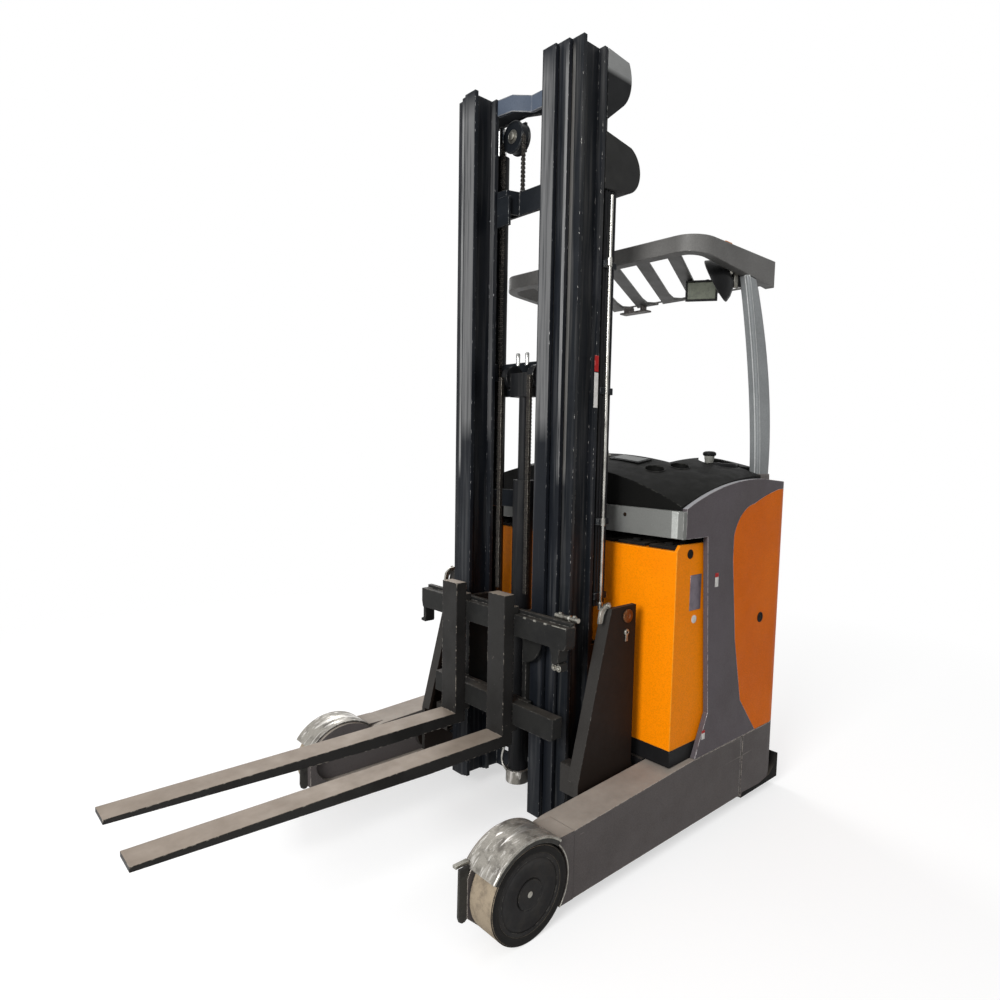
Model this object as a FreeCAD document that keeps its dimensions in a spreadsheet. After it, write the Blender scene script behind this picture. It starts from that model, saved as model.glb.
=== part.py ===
"""Electric reach truck: a parametric FreeCAD document, one STEP file per sub-part.

Frame: millimetres, +Z up, the forks point along -Y, X runs across the truck.
The origin is on the floor, in the middle of the truck's width and of its whole length.
"""
import FreeCAD, Part
import os
import re
import Sketcher
from FreeCAD import Placement, Rotation, Vector

# Driving sizes. Those that end in _x are half widths, measured from the middle of the truck.
# Every other place is worked out from these in PLACES, front to back and from the floor up.
SIZES = {
    # whole truck
    "fork_length": 1150,
    "fork_face_back": 249,
    "body_side_x": 625,
    "guard_height": 2208,
    "cab_depth": 443,
    "rest_gap": 0.3,
    "running_gap": 0.05,
    "moving_gap": 5,
    "bite": 1,
    "overshoot": 20,
    # wheel arms and chassis
    "arm_width": 135,
    "arm_channel_depth": 25,
    "arm_web_thickness": 10,
    "arm_bottom": 50,
    "arm_nose_angle": 157,
    "arm_nose_lift": 40,
    "arm_front_drop": 31,
    "arm_slope_run": 107,
    "arm_box_gap": 2,
    "arm_foot_length": 265,
    "arm_foot_slope": 60,
    "arm_foot_drop": 15,
    "channel_low": 90,
    "channel_high": 250,
    "channel_nose": 125,
    "corner_radius": 100,
    "corner_groove_in": 310,
    "corner_groove_width": 14,
    "corner_groove_depth": 6,
    "chassis_bottom": 90,
    "chassis_stop_gap": 20,
    "deck_top": 300,
    "deck_thickness": 12,
    "beam_width": 50,
    "drive_well_radius": 215,
    # load wheels
    "load_wheel_radius": 145,
    "load_wheel_width": 96,
    "load_tyre_thickness": 26,
    "load_axle_radius": 30,
    "hub_cap_depth": 14,
    "hub_cap_wall": 14,
    "hub_dish_depth": 8,
    "hub_rim_width": 12,
    "cover_gap": 18,
    "cover_thickness": 8,
    "cover_overhang": 10,
    "cover_front_angle": 146,
    "cover_rear_angle": 47,
    "guard_plate_front": 184,
    "guard_plate_rear": 128,
    "guard_plate_rise": 117,
    "guard_plate_low": 80,
    "guard_plate_thickness": 6,
    # battery
    "battery_set_back": 14,
    "battery_length": 283,
    "battery_inset": 23,
    "battery_height": 784,
    "battery_tray_height": 62,
    "battery_lip_height": 21,
    "battery_lip_thickness": 12,
    "battery_notch": 17,
    "battery_headroom": 44.7,
    # body panels
    "shell_thickness": 20,
    "shell_drop": 25,
    "band_overhang": 2,
    "band_height": 97,
    "band_depth": 20,
    "panel_rise": 108,
    "panel_gap": 3,
    "panel_joint": 0.5,
    "panel_crest_in": 237,
    "panel_bulge_run": 215,
    "panel_bulge_drop": 33,
    "panel_rear_drop": 20,
    "panel_toe_run": 200,
    "panel_toe_height": 160,
    "panel_edge_run": 151,
    "inset_crest_in": 109,
    "inset_crest_drop": 44,
    "inset_bow_in": 200,
    "inset_bow_drop": 64,
    "inset_shoulder_in": 296,
    "inset_shoulder_drop": 96,
    "inset_brow_in": 390,
    "inset_brow_drop": 139,
    "inset_front_in": 435,
    "inset_front_drop": 214,
    "inset_side_drop": 305,
    "inset_waist_in": 394,
    "inset_waist_drop": 623,
    "inset_foot_in": 335,
    "inset_foot_drop": 877,
    "inset_toe_in": 210,
    "console_depth": 295,
    "bulkhead_thickness": 12,
    "dash_skirt": 21,
    "dash_lip": 14,
    "dash_rise": 98,
    "dash_front_drop": 62,
    "dash_rear_drop": 12,
    "dash_shoulder_run": 153,
    "dash_shoulder_drop": 44,
    "dash_shoulder_crown_drop": 34,
    "dash_crest_run": 403,
    "dash_edge_lift": 5,
    "cup_radius": 38,
    "cup_depth": 60,
    "front_cup_x": 350,
    "front_cup_run": 179,
    "rear_cup_x": 390,
    "rear_cup_run": 286,
    # driver's place
    "floor_rise": 200,
    "floor_thickness": 12,
    "step_tread_thickness": 6,
    "seat_rise": 400,
    "seat_cushion_thickness": 100,
    "seat_side_gap": 25,
    "seat_front_gap": 20,
    "seat_belt_room": 50,
    "seat_depth": 430,
    "seat_back_height": 560,
    "seat_back_thickness": 90,
    "seat_mount_height": 90,
    "seat_mount_set_in": 130,
    "seat_mount_width": 200,
    "seat_wall": 15,
    "seat_end_wall": 100,
    "motor_headroom": 40,
    "unit_seat_gap": 140,
    "unit_side_gap": 90,
    "unit_front_gap": 15,
    "unit_rear_gap": 37,
    "pedal_set_back": 60,
    "pedal_length": 130,
    "pedal_height": 45,
    "pedal_width": 48,
    "brake_pedal_x": 200,
    "drive_pedal_x": 264,
    "lever_x": -150,
    "lever_radius": 9,
    "lever_set_in": 60,
    "lever_rise": 45,
    "steering_wheel_in": 210,
    "steering_wheel_inset": 240,
    "steering_wheel_radius": 76,
    "steering_wheel_thickness": 20,
    "steering_wheel_room": 12,
    "steering_wheel_sink": 60,
    "steering_stem_radius": 18,
    "steering_stem_height": 40,
    "knob_radius": 19,
    "knob_offset_x": 10,
    "knob_offset": 55,
    "knob_height": 66,
    # overhead guard
    "pillar_in": 75,
    "pillar_width": 55,
    "pillar_front_inset": 220,
    "pillar_rear_inset": 73,
    "pillar_knee_rise": 21,
    "pillar_rear_knee_rise": 66,
    "pillar_lean": 145,
    "pillar_head_width": 125,
    "pillar_bow": 14,
    "pillar_rear_bow": 15,
    "roof_rear_inset": 80,
    "roof_length": 560,
    "roof_corner_radius": 100,
    "roof_band_width": 40,
    "roof_band_front": 60,
    "roof_band_rear": 107,
    "roof_bar_width": 60,
    "roof_bar_thickness": 12,
    "roof_bar_lift": 6,
    "roof_bar_x": 281,
    "roof_bar_pitch": 151,
    "roof_bar_slant": 0.49,
    "mirror_radius": 85,
    "mirror_neck_radius": 30,
    "mirror_depth": 40,
    "mirror_in": 100,
    "mirror_run": 240,
    "mirror_drop": 46,
    "mirror_arm_radius": 8,
    "lamp_x": 315,
    "lamp_width": 120,
    "lamp_height": 76,
    "lamp_depth": 45,
    # drive unit
    "drive_x": -200,
    "drive_inset": 260,
    "drive_wheel_radius": 155,
    "drive_wheel_width": 100,
    "drive_axle_radius": 25,
    "turntable_radius": 110,
    "turntable_rise": 18,
    "turntable_thickness": 20,
    "spigot_radius": 40,
    "spigot_height": 30,
    "gear_case_width": 50,
    "gear_case_length": 140,
    "gear_case_bottom": 90,
    "motor_radius": 95,
    "motor_height": 317,
    "motor_flange_thickness": 14,
    "motor_foot_width": 20,
    "motor_flange_reach": 130,
    # reach carriage
    "reach_side_gap": 15,
    "reach_plate_thickness": 20,
    "reach_plate_bottom": 112,
    "reach_plate_height": 586,
    "reach_heel_step": 25,
    "reach_heel_drop": 30,
    "reach_foot_length": 300,
    "reach_head_width": 130,
    "reach_flange_depth": 30,
    "reach_flange_thickness": 16,
    "reach_beam_thickness": 15,
    "reach_beam_lift": 8,
    "reach_roller_play": 2,
    "reach_roller_hub": 10,
    "reach_stub_radius": 20,
    "reach_stroke": 455,
    "reach_cylinder_x": 300,
    "reach_cylinder_radius": 32,
    "reach_rod_radius": 16,
    "reach_rod_length": 540,
    "reach_line_height": 200,
    "reach_tube_length": 580,
    "tilt_clearance": 12.7,
    # mast
    "carriage_overhang": 15.7,
    "tilt_pin_set_back": 125,
    "tilt_pin_radius": 25,
    "mast_side_gap": 112,
    "mast_depth": 115,
    "flange_thickness": 14.5,
    "web_thickness": 12,
    "stage_overlap": 20,
    "stage_web_gap": 10,
    "outer_stage_width": 68,
    "middle_stage_width": 64,
    "inner_stage_width": 64,
    "outer_bottom": 40,
    "outer_height": 2740,
    "middle_lift": 20,
    "middle_drop": 5,
    "inner_lift": 40,
    "inner_drop": 13,
    "inner_head_height": 62,
    "inner_head_bend": 50,
    "sole_thickness": 18,
    "foot_thickness": 12,
    "roller_play": 0.5,
    "roller_side_gap": 3,
    "roller_proud": 2,
    "roller_stub_radius": 15,
    "roller_set_in": 60,
    "roller_start": 5,
    "outer_roller_drop": 80,
    "middle_roller_drop": 110,
    "tube_stand_off": 20,
    "lift_cylinder_in": 7,
    "lift_cylinder_radius": 28,
    "lift_rod_radius": 16,
    "lift_cylinder_lift": 110,
    "lift_cylinder_drop": 180,
    "lift_rod_end": 40,
    "cylinder_floor": 15,
    "cylinder_seat_thickness": 20,
    "tie_thickness": 12,
    "tie_height": 70,
    "tie_inset": 26.3,
    "inner_tie_gap": 14,
    "outer_lug_width": 14.7,
    "middle_lug_width": 23,
    "middle_pad_width": 31,
    "inner_lug_width": 20,
    "head_bar_height": 65,
    "head_lug_width": 39,
    "foot_tie_share": 0.07,
    "low_tie_share": 0.22,
    "high_tie_share": 0.585,
    "head_tie_share": 0.8485,
    "middle_low_tie_share": 0.14,
    "middle_high_tie_share": 0.606,
    "inner_low_tie_share": 0.42,
    "inner_yoke_share": 0.8376,
    "inner_yoke_height": 85,
    "inner_yoke_bend": 72,
    "inner_yoke_arm_drop": 55,
    "inner_yoke_arm_rise": 20,
    "pipe_radius": 7,
    "pipe_stand_off": 10,
    "pipe_back": 41,
    "pipe_bottom_share": 0.3,
    "pipe_top_share": 0.825,
    "pipe_foot_clip_share": 0.314,
    "pipe_low_clip_share": 0.414,
    "pipe_high_clip_share": 0.584,
    "pipe_head_clip_share": 0.743,
    "pipe_clip_height": 14,
    "pipe_clip_depth": 22,
    "cover_inner": 30,
    "pulley_cover_low_drop": 454,
    "pulley_cover_heel_drop": 444,
    "pulley_cover_bulge_drop": 343,
    "pulley_cover_brow_drop": 283,
    "pulley_cover_high_drop": 266,
    "pulley_cover_heel": 102,
    "pulley_cover_bulge": 182,
    "pulley_cover_brow": 131,
    "head_cover_low_drop": 230,
    "head_cover_heel_drop": 160,
    "head_cover_bulge_drop": 80,
    "head_cover_brow_drop": 8,
    "head_cover_heel": 81,
    "head_cover_bulge": 121,
    "head_cover_brow": 106,
    # chains from the outer stage over the middle stage's head
    "head_pulley_x": 168,
    "head_pulley_radius": 61,
    "head_pulley_drop": 65,
    "head_pulley_width": 22,
    "head_plate_thickness": 10,
    "head_plate_half_width": 25,
    "head_chain_short": 215,
    "head_chain_share": 0.86,
    # free lift
    "free_cylinder_radius": 40,
    "free_cylinder_top": 1308,
    "free_rod_radius": 23,
    "free_rod_showing": 317,
    "free_head_height": 90,
    "free_head_x": 60,
    "free_head_depth": 50,
    "free_pulley_radius": 45,
    "free_pulley_drop": 15,
    "chain_width": 16,
    "chain_thickness": 12,
    "chain_x": 82,
    "chain_anchor_rise": 37,
    # carriage and forks
    "carriage_plate_thickness": 20,
    "carriage_plate_depth": 30,
    "carriage_bar_x": 215,
    "carriage_bar_thickness": 20,
    "carriage_roller_in": 50,
    "fork_bar_thickness": 40,
    "upper_bar_overhang": 102,
    "upper_bar_low": 765,
    "upper_bar_height": 78,
    "lower_bar_overhang": 77,
    "lower_bar_low": 438,
    "lower_bar_height": 80,
    "end_hook_width": 25,
    "end_hook_drop": 55,
    "bar_tie_x": 205,
    "bar_tie_width": 30,
    "slide_pad_x": 150,
    "slide_pad_in": 20,
    "fork_inner_x": 96,
    "fork_width": 92,
    "fork_thickness": 45,
    "fork_blade_top": 407,
    "fork_blade_thickness": 42,
    "fork_tip_thickness": 14,
    "fork_heel_length": 300,
    "fork_shank_height": 507,
    "fork_hook_depth": 22,
    "fork_hook_height": 26,
}

# Places worked out from the driving sizes. Those that end in _back are distances behind the
# load wheels' axle, and those that end in _y are places along the truck.
PLACES = {
    "stage_step": "flange_thickness + moving_gap",
    # behind the axle, front to back
    "mast_front_back": "fork_face_back + fork_thickness + rest_gap + fork_bar_thickness"
                       " + moving_gap + carriage_bar_thickness + carriage_overhang",
    "tilt_pin_back": "mast_front_back + tilt_pin_set_back",
    "lift_cylinder_back": "mast_front_back + 2 * stage_step + mast_depth + tube_stand_off"
                          " + lift_cylinder_radius",
    "outer_tie_back": "lift_cylinder_back + lift_cylinder_radius + rest_gap",
    "reach_heel_back": "outer_tie_back + tie_thickness + tilt_clearance"
                       " + reach_beam_thickness",
    "reach_rear_back": "reach_heel_back - reach_heel_step",
    "reach_head_back": "reach_rear_back - reach_head_width",
    "reach_foot_back": "reach_heel_back - reach_foot_length",
    "reach_roller_back": "reach_heel_back - reach_roller_radius",
    "chassis_front_back": "reach_heel_back + chassis_stop_gap",
    "battery_front_back": "chassis_front_back + battery_set_back",
    "band_front_back": "battery_front_back - band_overhang",
    "arm_slope_back": "battery_front_back + arm_slope_run",
    "truck_rear_back": "battery_front_back + battery_length + panel_gap"
                       " + bulkhead_thickness + cab_depth + shell_thickness",
    "arm_foot_back": "truck_rear_back - arm_foot_length",
    "pillar_front_back": "truck_rear_back - pillar_front_inset",
    "pillar_rear_back": "truck_rear_back - pillar_rear_inset",
    "roof_rear_back": "truck_rear_back - roof_rear_inset",
    "roof_front_back": "roof_rear_back - roof_length",
    # along the truck
    "axle_y": "(fork_length - fork_face_back - truck_rear_back) / 2",
    "rear_y": "axle_y + truck_rear_back",
    "fork_face_y": "axle_y + fork_face_back",
    "fork_back_y": "fork_face_y + fork_thickness",
    "fork_bar_front_y": "fork_back_y + rest_gap",
    "fork_bar_rear_y": "fork_bar_front_y + fork_bar_thickness",
    "carriage_bar_y": "fork_bar_rear_y + moving_gap",
    "carriage_bar_rear_y": "carriage_bar_y + carriage_bar_thickness",
    "mast_front_y": "axle_y + mast_front_back",
    "middle_front_y": "mast_front_y + stage_step",
    "outer_front_y": "middle_front_y + stage_step",
    "inner_rear_y": "mast_front_y + mast_depth",
    "middle_rear_y": "middle_front_y + mast_depth",
    "mast_rear_y": "outer_front_y + mast_depth",
    "inner_middle_y": "mast_front_y + mast_depth / 2",
    "inner_roller_y": "mast_front_y + (mast_depth + stage_step) / 2",
    "outer_roller_y": "middle_front_y + (mast_depth + stage_step) / 2",
    "free_lift_y": "mast_rear_y - free_cylinder_radius",
    "inner_tie_y": "mast_rear_y + inner_tie_gap",
    "middle_tie_y": "inner_tie_y + tie_thickness + moving_gap",
    "tilt_pin_y": "axle_y + tilt_pin_back",
    "lift_cylinder_y": "axle_y + lift_cylinder_back",
    "outer_tie_y": "axle_y + outer_tie_back",
    "channel_end_y": "axle_y - channel_nose + channel_radius",
    "reach_roller_front_y": "channel_end_y + reach_stroke + reach_roller_play",
    "battery_front_y": "axle_y + battery_front_back",
    "battery_rear_y": "battery_front_y + battery_length",
    "bulkhead_y": "battery_rear_y + panel_gap",
    "cab_front_y": "bulkhead_y + bulkhead_thickness",
    "cab_rear_y": "rear_y - shell_thickness",
    "step_y": "axle_y + pillar_front_back - panel_gap",
    "drive_y": "rear_y - drive_inset",
    "roof_front_y": "axle_y + roof_front_back",
    "roof_rear_y": "axle_y + roof_rear_back",
    "steering_y": "rear_y - steering_wheel_inset",
    "mirror_y": "roof_front_y + mirror_run",
    # from the floor up
    "arm_top_front": "deck_top - arm_front_drop",
    "arm_foot_bottom": "arm_bottom - arm_foot_drop",
    "reach_roller_z": "(channel_low + channel_high) / 2",
    "reach_top": "deck_top + reach_plate_height",
    "battery_low": "deck_top + rest_gap",
    "battery_high": "battery_low + battery_height",
    "shell_bottom": "deck_top - shell_drop",
    "band_bottom": "battery_high + battery_headroom",
    "band_top": "band_bottom + band_height",
    "panel_top": "band_top + panel_rise",
    "dash_bottom": "band_bottom + dash_skirt",
    "dash_crown": "panel_top + dash_rise",
    "dash_top": "dash_crown + overshoot",
    "floor_top": "deck_top + floor_rise",
    "seat_pan_top": "floor_top + seat_rise",
    "seat_box_top": "seat_pan_top - seat_mount_height",
    "seat_top": "seat_pan_top + seat_cushion_thickness",
    "seat_back_top": "seat_top + seat_back_height",
    "steering_wheel_height": "dash_crown - steering_wheel_sink",
    "knob_top": "steering_wheel_height + knob_height",
    "roof_low_front": "guard_height - roof_band_front",
    "roof_low_rear": "guard_height - roof_band_rear",
    "mirror_z": "roof_low_rear - mirror_drop",
    "turntable_bottom": "deck_top + turntable_rise",
    "turntable_top": "turntable_bottom + turntable_thickness",
    "motor_bottom": "turntable_top + moving_gap",
    "motor_top": "motor_bottom + motor_height",
    "outer_top": "outer_bottom + outer_height",
    "middle_bottom": "outer_bottom + middle_lift",
    "middle_top": "outer_top - middle_drop",
    "inner_bottom": "outer_bottom + inner_lift",
    "inner_top": "outer_top - inner_drop",
    "head_bar_low": "middle_top - head_bar_height",
    "head_pulley_z": "head_bar_low - head_pulley_drop",
    "lift_cylinder_bottom": "outer_bottom + lift_cylinder_lift",
    "lift_cylinder_top": "outer_top - lift_cylinder_drop",
    "free_head_bottom": "free_cylinder_top + free_rod_showing",
    "free_pulley_z": "free_head_bottom + free_head_height - free_pulley_drop",
    "upper_bar_high": "upper_bar_low + upper_bar_height",
    "lower_bar_high": "lower_bar_low + lower_bar_height",
    "chain_bottom": "upper_bar_high + chain_anchor_rise",
    "fork_shank_top": "fork_blade_top + fork_shank_height",
    "fork_blade_under": "fork_blade_top - fork_blade_thickness",
    # across the truck
    "arm_inner_x": "body_side_x - arm_width",
    "arm_web_inner_x": "arm_inner_x + arm_channel_depth",
    "arm_web_outer_x": "arm_web_inner_x + arm_web_thickness",
    "wheel_inner_x": "arm_web_outer_x + moving_gap",
    "wheel_outer_x": "wheel_inner_x + load_wheel_width",
    "cover_side_x": "body_side_x + cover_overhang",
    "cover_inner_x": "arm_inner_x + cover_overhang",
    "battery_side_x": "body_side_x - battery_inset",
    "shell_inner_x": "body_side_x - shell_thickness",
    "lining_x": "shell_inner_x - panel_gap",
    "console_inner_x": "body_side_x - console_depth",
    "pillar_side_x": "body_side_x - pillar_in",
    "seat_rear_x": "-(pillar_side_x - pillar_width - moving_gap)",
    "seat_base_x": "seat_rear_x + seat_depth + seat_front_gap",
    "roof_side_x": "pillar_side_x",
    "mirror_x": "pillar_side_x - mirror_in",
    "steering_wheel_x": "body_side_x - steering_wheel_in",
    "reach_outer_x": "arm_inner_x - reach_side_gap",
    "reach_inner_x": "reach_outer_x - reach_plate_thickness",
    "outer_stage_x": "reach_inner_x - mast_side_gap",
    "outer_inner_x": "outer_stage_x - outer_stage_width",
    "middle_outer_x": "outer_inner_x + stage_overlap",
    "middle_inner_x": "middle_outer_x - middle_stage_width",
    "inner_outer_x": "middle_inner_x + stage_overlap",
    "inner_inner_x": "inner_outer_x - inner_stage_width",
    "outer_web_x": "middle_outer_x + stage_web_gap + web_thickness",
    "middle_web_x": "outer_inner_x - moving_gap",
    "inner_web_x": "middle_inner_x - moving_gap",
    "lift_cylinder_x": "outer_inner_x - lift_cylinder_in",
    "carriage_plate_x": "inner_inner_x - moving_gap",
    "upper_bar_x": "outer_stage_x + upper_bar_overhang",
    "lower_bar_x": "outer_stage_x + lower_bar_overhang",
    # radii
    "cover_inner_radius": "load_wheel_radius + cover_gap",
    "arm_box_back": "cover_inner_radius + arm_box_gap",
    "arm_nose_radius": "cover_inner_radius - rest_gap",
    "channel_radius": "(channel_high - channel_low) / 2",
    "reach_roller_radius": "channel_radius - reach_roller_play",
    "roller_radius": "(mast_depth - stage_step) / 2 - flange_thickness - roller_play",
    "carriage_roller_radius": "mast_depth / 2 - flange_thickness - roller_play",
}

doc = FreeCAD.newDocument("reach_truck")


def sheet(name, cells):
    """A spreadsheet with the names in column A and the named values in column B."""
    table = doc.addObject("Spreadsheet::Sheet", name)
    for row, (alias, text) in enumerate(cells.items(), 1):
        table.set(f"A{row}", alias)
        table.set(f"B{row}", text)
        table.setAlias(f"B{row}", alias)
    table.recompute()
    return table


def formula(text):
    """The text with each named size or place led by the sheet that holds it."""
    def owner(match):
        word = match.group(0)
        if word in SIZES:
            return "sizes." + word
        if word in PLACES:
            return "places." + word
        return word
    return re.sub(r"[a-z_]+", owner, str(text))


def place_formula(text):
    """A formula for a cell of the places sheet, where places need no sheet name."""
    return "=" + formula(text).replace("places.", "")


sizes = sheet("sizes", {alias: str(number) for alias, number in SIZES.items()})
places = sheet("places", {alias: place_formula(text) for alias, text in PLACES.items()})
probe = doc.addObject("Spreadsheet::Sheet", "probe")


def value(text):
    """What a formula comes to now, which starts a sketch near its bound shape."""
    probe.set("A1", "=" + formula(text))
    probe.recompute()
    return float(probe.get("A1"))


def block(name, x, y, z):
    """A box between a low and a high limit on each axis."""
    box = doc.addObject("Part::Box", name)
    for side, axis, (low, high) in (("Length", "x", x), ("Width", "y", y), ("Height", "z", z)):
        box.setExpression(side, formula(f"({high}) - ({low})"))
        box.setExpression(f"Placement.Base.{axis}", formula(low))
    return box


TURNS = {
    "x": Rotation(Vector(0, 1, 0), 90),
    "y": Rotation(Vector(1, 0, 0), -90),
    "z": Rotation(),
}


def rod(name, axis, centre, radius, low, high):
    """A round bar along an axis; centre holds the other two places in X, Y, Z order."""
    bar = doc.addObject("Part::Cylinder", name)
    bar.Placement = Placement(Vector(), TURNS[axis])
    bar.setExpression("Radius", formula(radius))
    bar.setExpression("Height", formula(f"({high}) - ({low})"))
    others = iter(centre)
    for letter in "xyz":
        text = low if letter == axis else next(others)
        bar.setExpression(f"Placement.Base.{letter}", formula(text))
    return bar


def outline(body, plane, offset, corners):
    """A closed sketch. A corner is (u, v), or (u, v, arc_u, arc_v) where the stretch
    that ends there is an arc through the second point."""
    sketch = body.newObject("Sketcher::SketchObject", body.Name + "_outline")
    for feature in body.Origin.OriginFeatures:
        if getattr(feature, "Role", "") == plane:
            sketch.AttachmentSupport = [(feature, "")]
    sketch.MapMode = "FlatFace"
    sketch.setExpression(".AttachmentOffset.Base.z", formula(offset))
    points = [Vector(value(corner[0]), value(corner[1]), 0) for corner in corners]
    count = len(corners)
    arcs = []
    for index, corner in enumerate(corners):
        start, end = points[index - 1], points[index]
        if len(corner) == 2:
            sketch.addGeometry(Part.LineSegment(start, end), False)
            arcs.append("")
            continue
        middle = Vector(value(corner[2]), value(corner[3]), 0)
        clockwise = (middle - start).cross(end - start).z < 0
        ends = (end, start) if clockwise else (start, end)
        sketch.addGeometry(Part.Arc(ends[0], middle, ends[1]), False)
        arcs.append("turned" if clockwise else "plain")
    for index, corner in enumerate(corners):
        following = (index + 1) % count
        last = 1 if arcs[index] == "turned" else 2
        first = 2 if arcs[following] == "turned" else 1
        sketch.addConstraint(Sketcher.Constraint("Coincident", index, last, following, first))
        for kind, text, letter in (("DistanceX", corner[0], "u"), ("DistanceY", corner[1], "v")):
            mark = f"{letter}{index}"
            number = sketch.addConstraint(
                Sketcher.Constraint(kind, -1, 1, index, last, value(text)))
            sketch.renameConstraint(number, mark)
            sketch.setExpression(f"Constraints.{mark}", formula(text))
        if arcs[index]:
            point = sketch.addGeometry(
                Part.Point(Vector(value(corner[2]), value(corner[3]), 0)), True)
            sketch.addConstraint(Sketcher.Constraint("PointOnObject", point, 1, index))
            for kind, text, letter in (("DistanceX", corner[2], "p"), ("DistanceY", corner[3], "q")):
                mark = f"{letter}{index}"
                number = sketch.addConstraint(
                    Sketcher.Constraint(kind, -1, 1, point, 1, value(text)))
                sketch.renameConstraint(number, mark)
                sketch.setExpression(f"Constraints.{mark}", formula(text))
    return sketch


PLANES = {"xy": "XY_Plane", "yz": "YZ_Plane", "xz": "XZ_Plane"}


def prism(name, plane, corners, low, high):
    """A body padded from an outline on a plane, between two limits along its normal."""
    body = doc.addObject("PartDesign::Body", name)
    offset = f"-({high})" if plane == "xz" else low
    sketch = outline(body, PLANES[plane], offset, corners)
    pad = body.newObject("PartDesign::Pad", name + "_pad")
    pad.Profile = sketch
    pad.setExpression("Length", formula(f"({high}) - ({low})"))
    sketch.Visibility = False
    body.Tip = pad
    return body


def loft(name, plane, sections):
    """A body lofted through outlines that stand one behind the other."""
    body = doc.addObject("PartDesign::Body", name)
    sign = "-" if plane == "xz" else ""
    sketches = [outline(body, PLANES[plane], f"{sign}({place})", corners)
                for place, corners in sections]
    shape = body.newObject("PartDesign::AdditiveLoft", name + "_loft")
    shape.Profile = sketches[0]
    shape.Sections = sketches[1:]
    body.Tip = shape
    return body


def soften(body, radius, test):
    """Fillets the edges of a body that pass the test; the radius is a formula."""
    doc.recompute()
    names = [f"Edge{number}" for number, edge in enumerate(body.Tip.Shape.Edges, 1) if test(edge)]
    fillet = body.newObject("PartDesign::Fillet", body.Name + "_fillet")
    fillet.Base = (body.Tip if body.Tip is not fillet else fillet.BaseFeature, names)
    fillet.setExpression("Radius", formula(radius))
    body.Tip = fillet
    return body


def edge_at(places_wanted, axis):
    """A test for straight edges along an axis that pass near one of some points; each
    point holds the other two places in X, Y, Z order."""
    keep = [number for number in range(3) if number != "xyz".index(axis)]
    wanted = [[value(text) for text in point] for point in places_wanted]

    def test(edge):
        if edge.Curve.TypeId != "Part::GeomLine":
            return False
        ends = [vertex.Point for vertex in edge.Vertexes]
        run = ends[-1] - ends[0]
        if abs(run["xyz".index(axis)]) < 0.999 * run.Length:
            return False
        return any(all(abs(ends[0][number] - spot) < 0.01 for number, spot in zip(keep, point))
                   for point in wanted)
    return test


def fuse(name, pieces):
    """One solid from several that share faces or overlap."""
    joined = doc.addObject("Part::MultiFuse", name)
    joined.Shapes = pieces
    joined.Refine = True
    return joined


def cut(name, base, tools):
    """The base with every tool taken away."""
    for number, tool in enumerate(tools):
        last = number == len(tools) - 1
        result = doc.addObject("Part::Cut", name if last else f"{name}_{number}")
        result.Base = base
        result.Tool = tool
        result.Refine = True
        base = result
    return base


def common(name, first, second):
    """What two solids share."""
    result = doc.addObject("Part::MultiCommon", name)
    result.Shapes = [first, second]
    result.Refine = True
    return result


def mirrored(name, source):
    """The same piece on the other side of the truck."""
    twin = doc.addObject("Part::Mirroring", name)
    twin.Source = source
    twin.Normal = Vector(1, 0, 0)
    return twin


def group(name, pieces):
    """Like pieces of one body that don't touch, kept together in one node."""
    together = doc.addObject("Part::Compound", name)
    together.Links = pieces
    return together


NODES = []


def node(label, shape):
    """Marks an object as a sub-part, whose label names its file."""
    shape.Label = label
    NODES.append(shape)
    return shape


def pair(label, build):
    """A sub-part and its mirror image, left being the +X side."""
    left = node(label + "_left", build)
    node(label + "_right", mirrored(label + "_right", left))
    return left


def back(text):
    """The place a distance behind the load wheels' axle."""
    return f"axle_y + ({text})"


# ---------------------------------------------------------------- wheel arms and chassis
# Each arm is a channel that opens inwards, where the reach carriage rolls, with a box
# section outside it from the wheel back to the rear corner.
arm_side = prism("arm_side", "yz", [
    ("axle_y + arm_nose_radius * cos(arm_nose_angle)", "arm_bottom + arm_nose_lift"),
    ("axle_y + arm_nose_radius * cos(arm_nose_angle)",
     "load_wheel_radius + arm_nose_radius * sin(arm_nose_angle)"),
    ("axle_y + arm_nose_radius * cos(cover_rear_angle - 2)",
     "load_wheel_radius + arm_nose_radius * sin(cover_rear_angle - 2)",
     "axle_y", "load_wheel_radius + arm_nose_radius"),
    (back("arm_box_back"), "arm_top_front"),
    (back("arm_slope_back"), "deck_top"),
    ("rear_y", "deck_top"),
    ("rear_y", "arm_foot_bottom"),
    (back("arm_foot_back"), "arm_foot_bottom"),
    (back("arm_foot_back - arm_foot_slope"), "arm_bottom"),
    ("axle_y + arm_nose_radius * cos(arm_nose_angle) + arm_nose_lift", "arm_bottom"),
], "arm_inner_x", "body_side_x")
soften(arm_side, "corner_radius", edge_at([("body_side_x", "rear_y")], "z"))
wheel_space = block("wheel_space", ("arm_web_outer_x", "cover_side_x"),
                    (back("-cover_inner_radius - overshoot"), back("arm_box_back")),
                    ("0", "load_wheel_radius + cover_inner_radius + overshoot"))
channel_run = block("channel_run", ("arm_inner_x - bite", "arm_web_inner_x"),
                    ("channel_end_y", back("chassis_front_back - moving_gap")),
                    ("channel_low", "channel_high"))
channel_end = rod("channel_end", "x", ("channel_end_y", "reach_roller_z"), "channel_radius",
                  "arm_inner_x - bite", "arm_web_inner_x")
corner_groove = block("corner_groove", ("body_side_x - corner_groove_depth",
                                        "body_side_x + bite"),
                      ("rear_y - corner_groove_in",
                       "rear_y - corner_groove_in + corner_groove_width"),
                      ("arm_foot_bottom - bite", "deck_top + bite"))
pair("wheel_arm", cut("wheel_arm", arm_side,
                      [wheel_space, channel_run, channel_end, corner_groove]))

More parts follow.
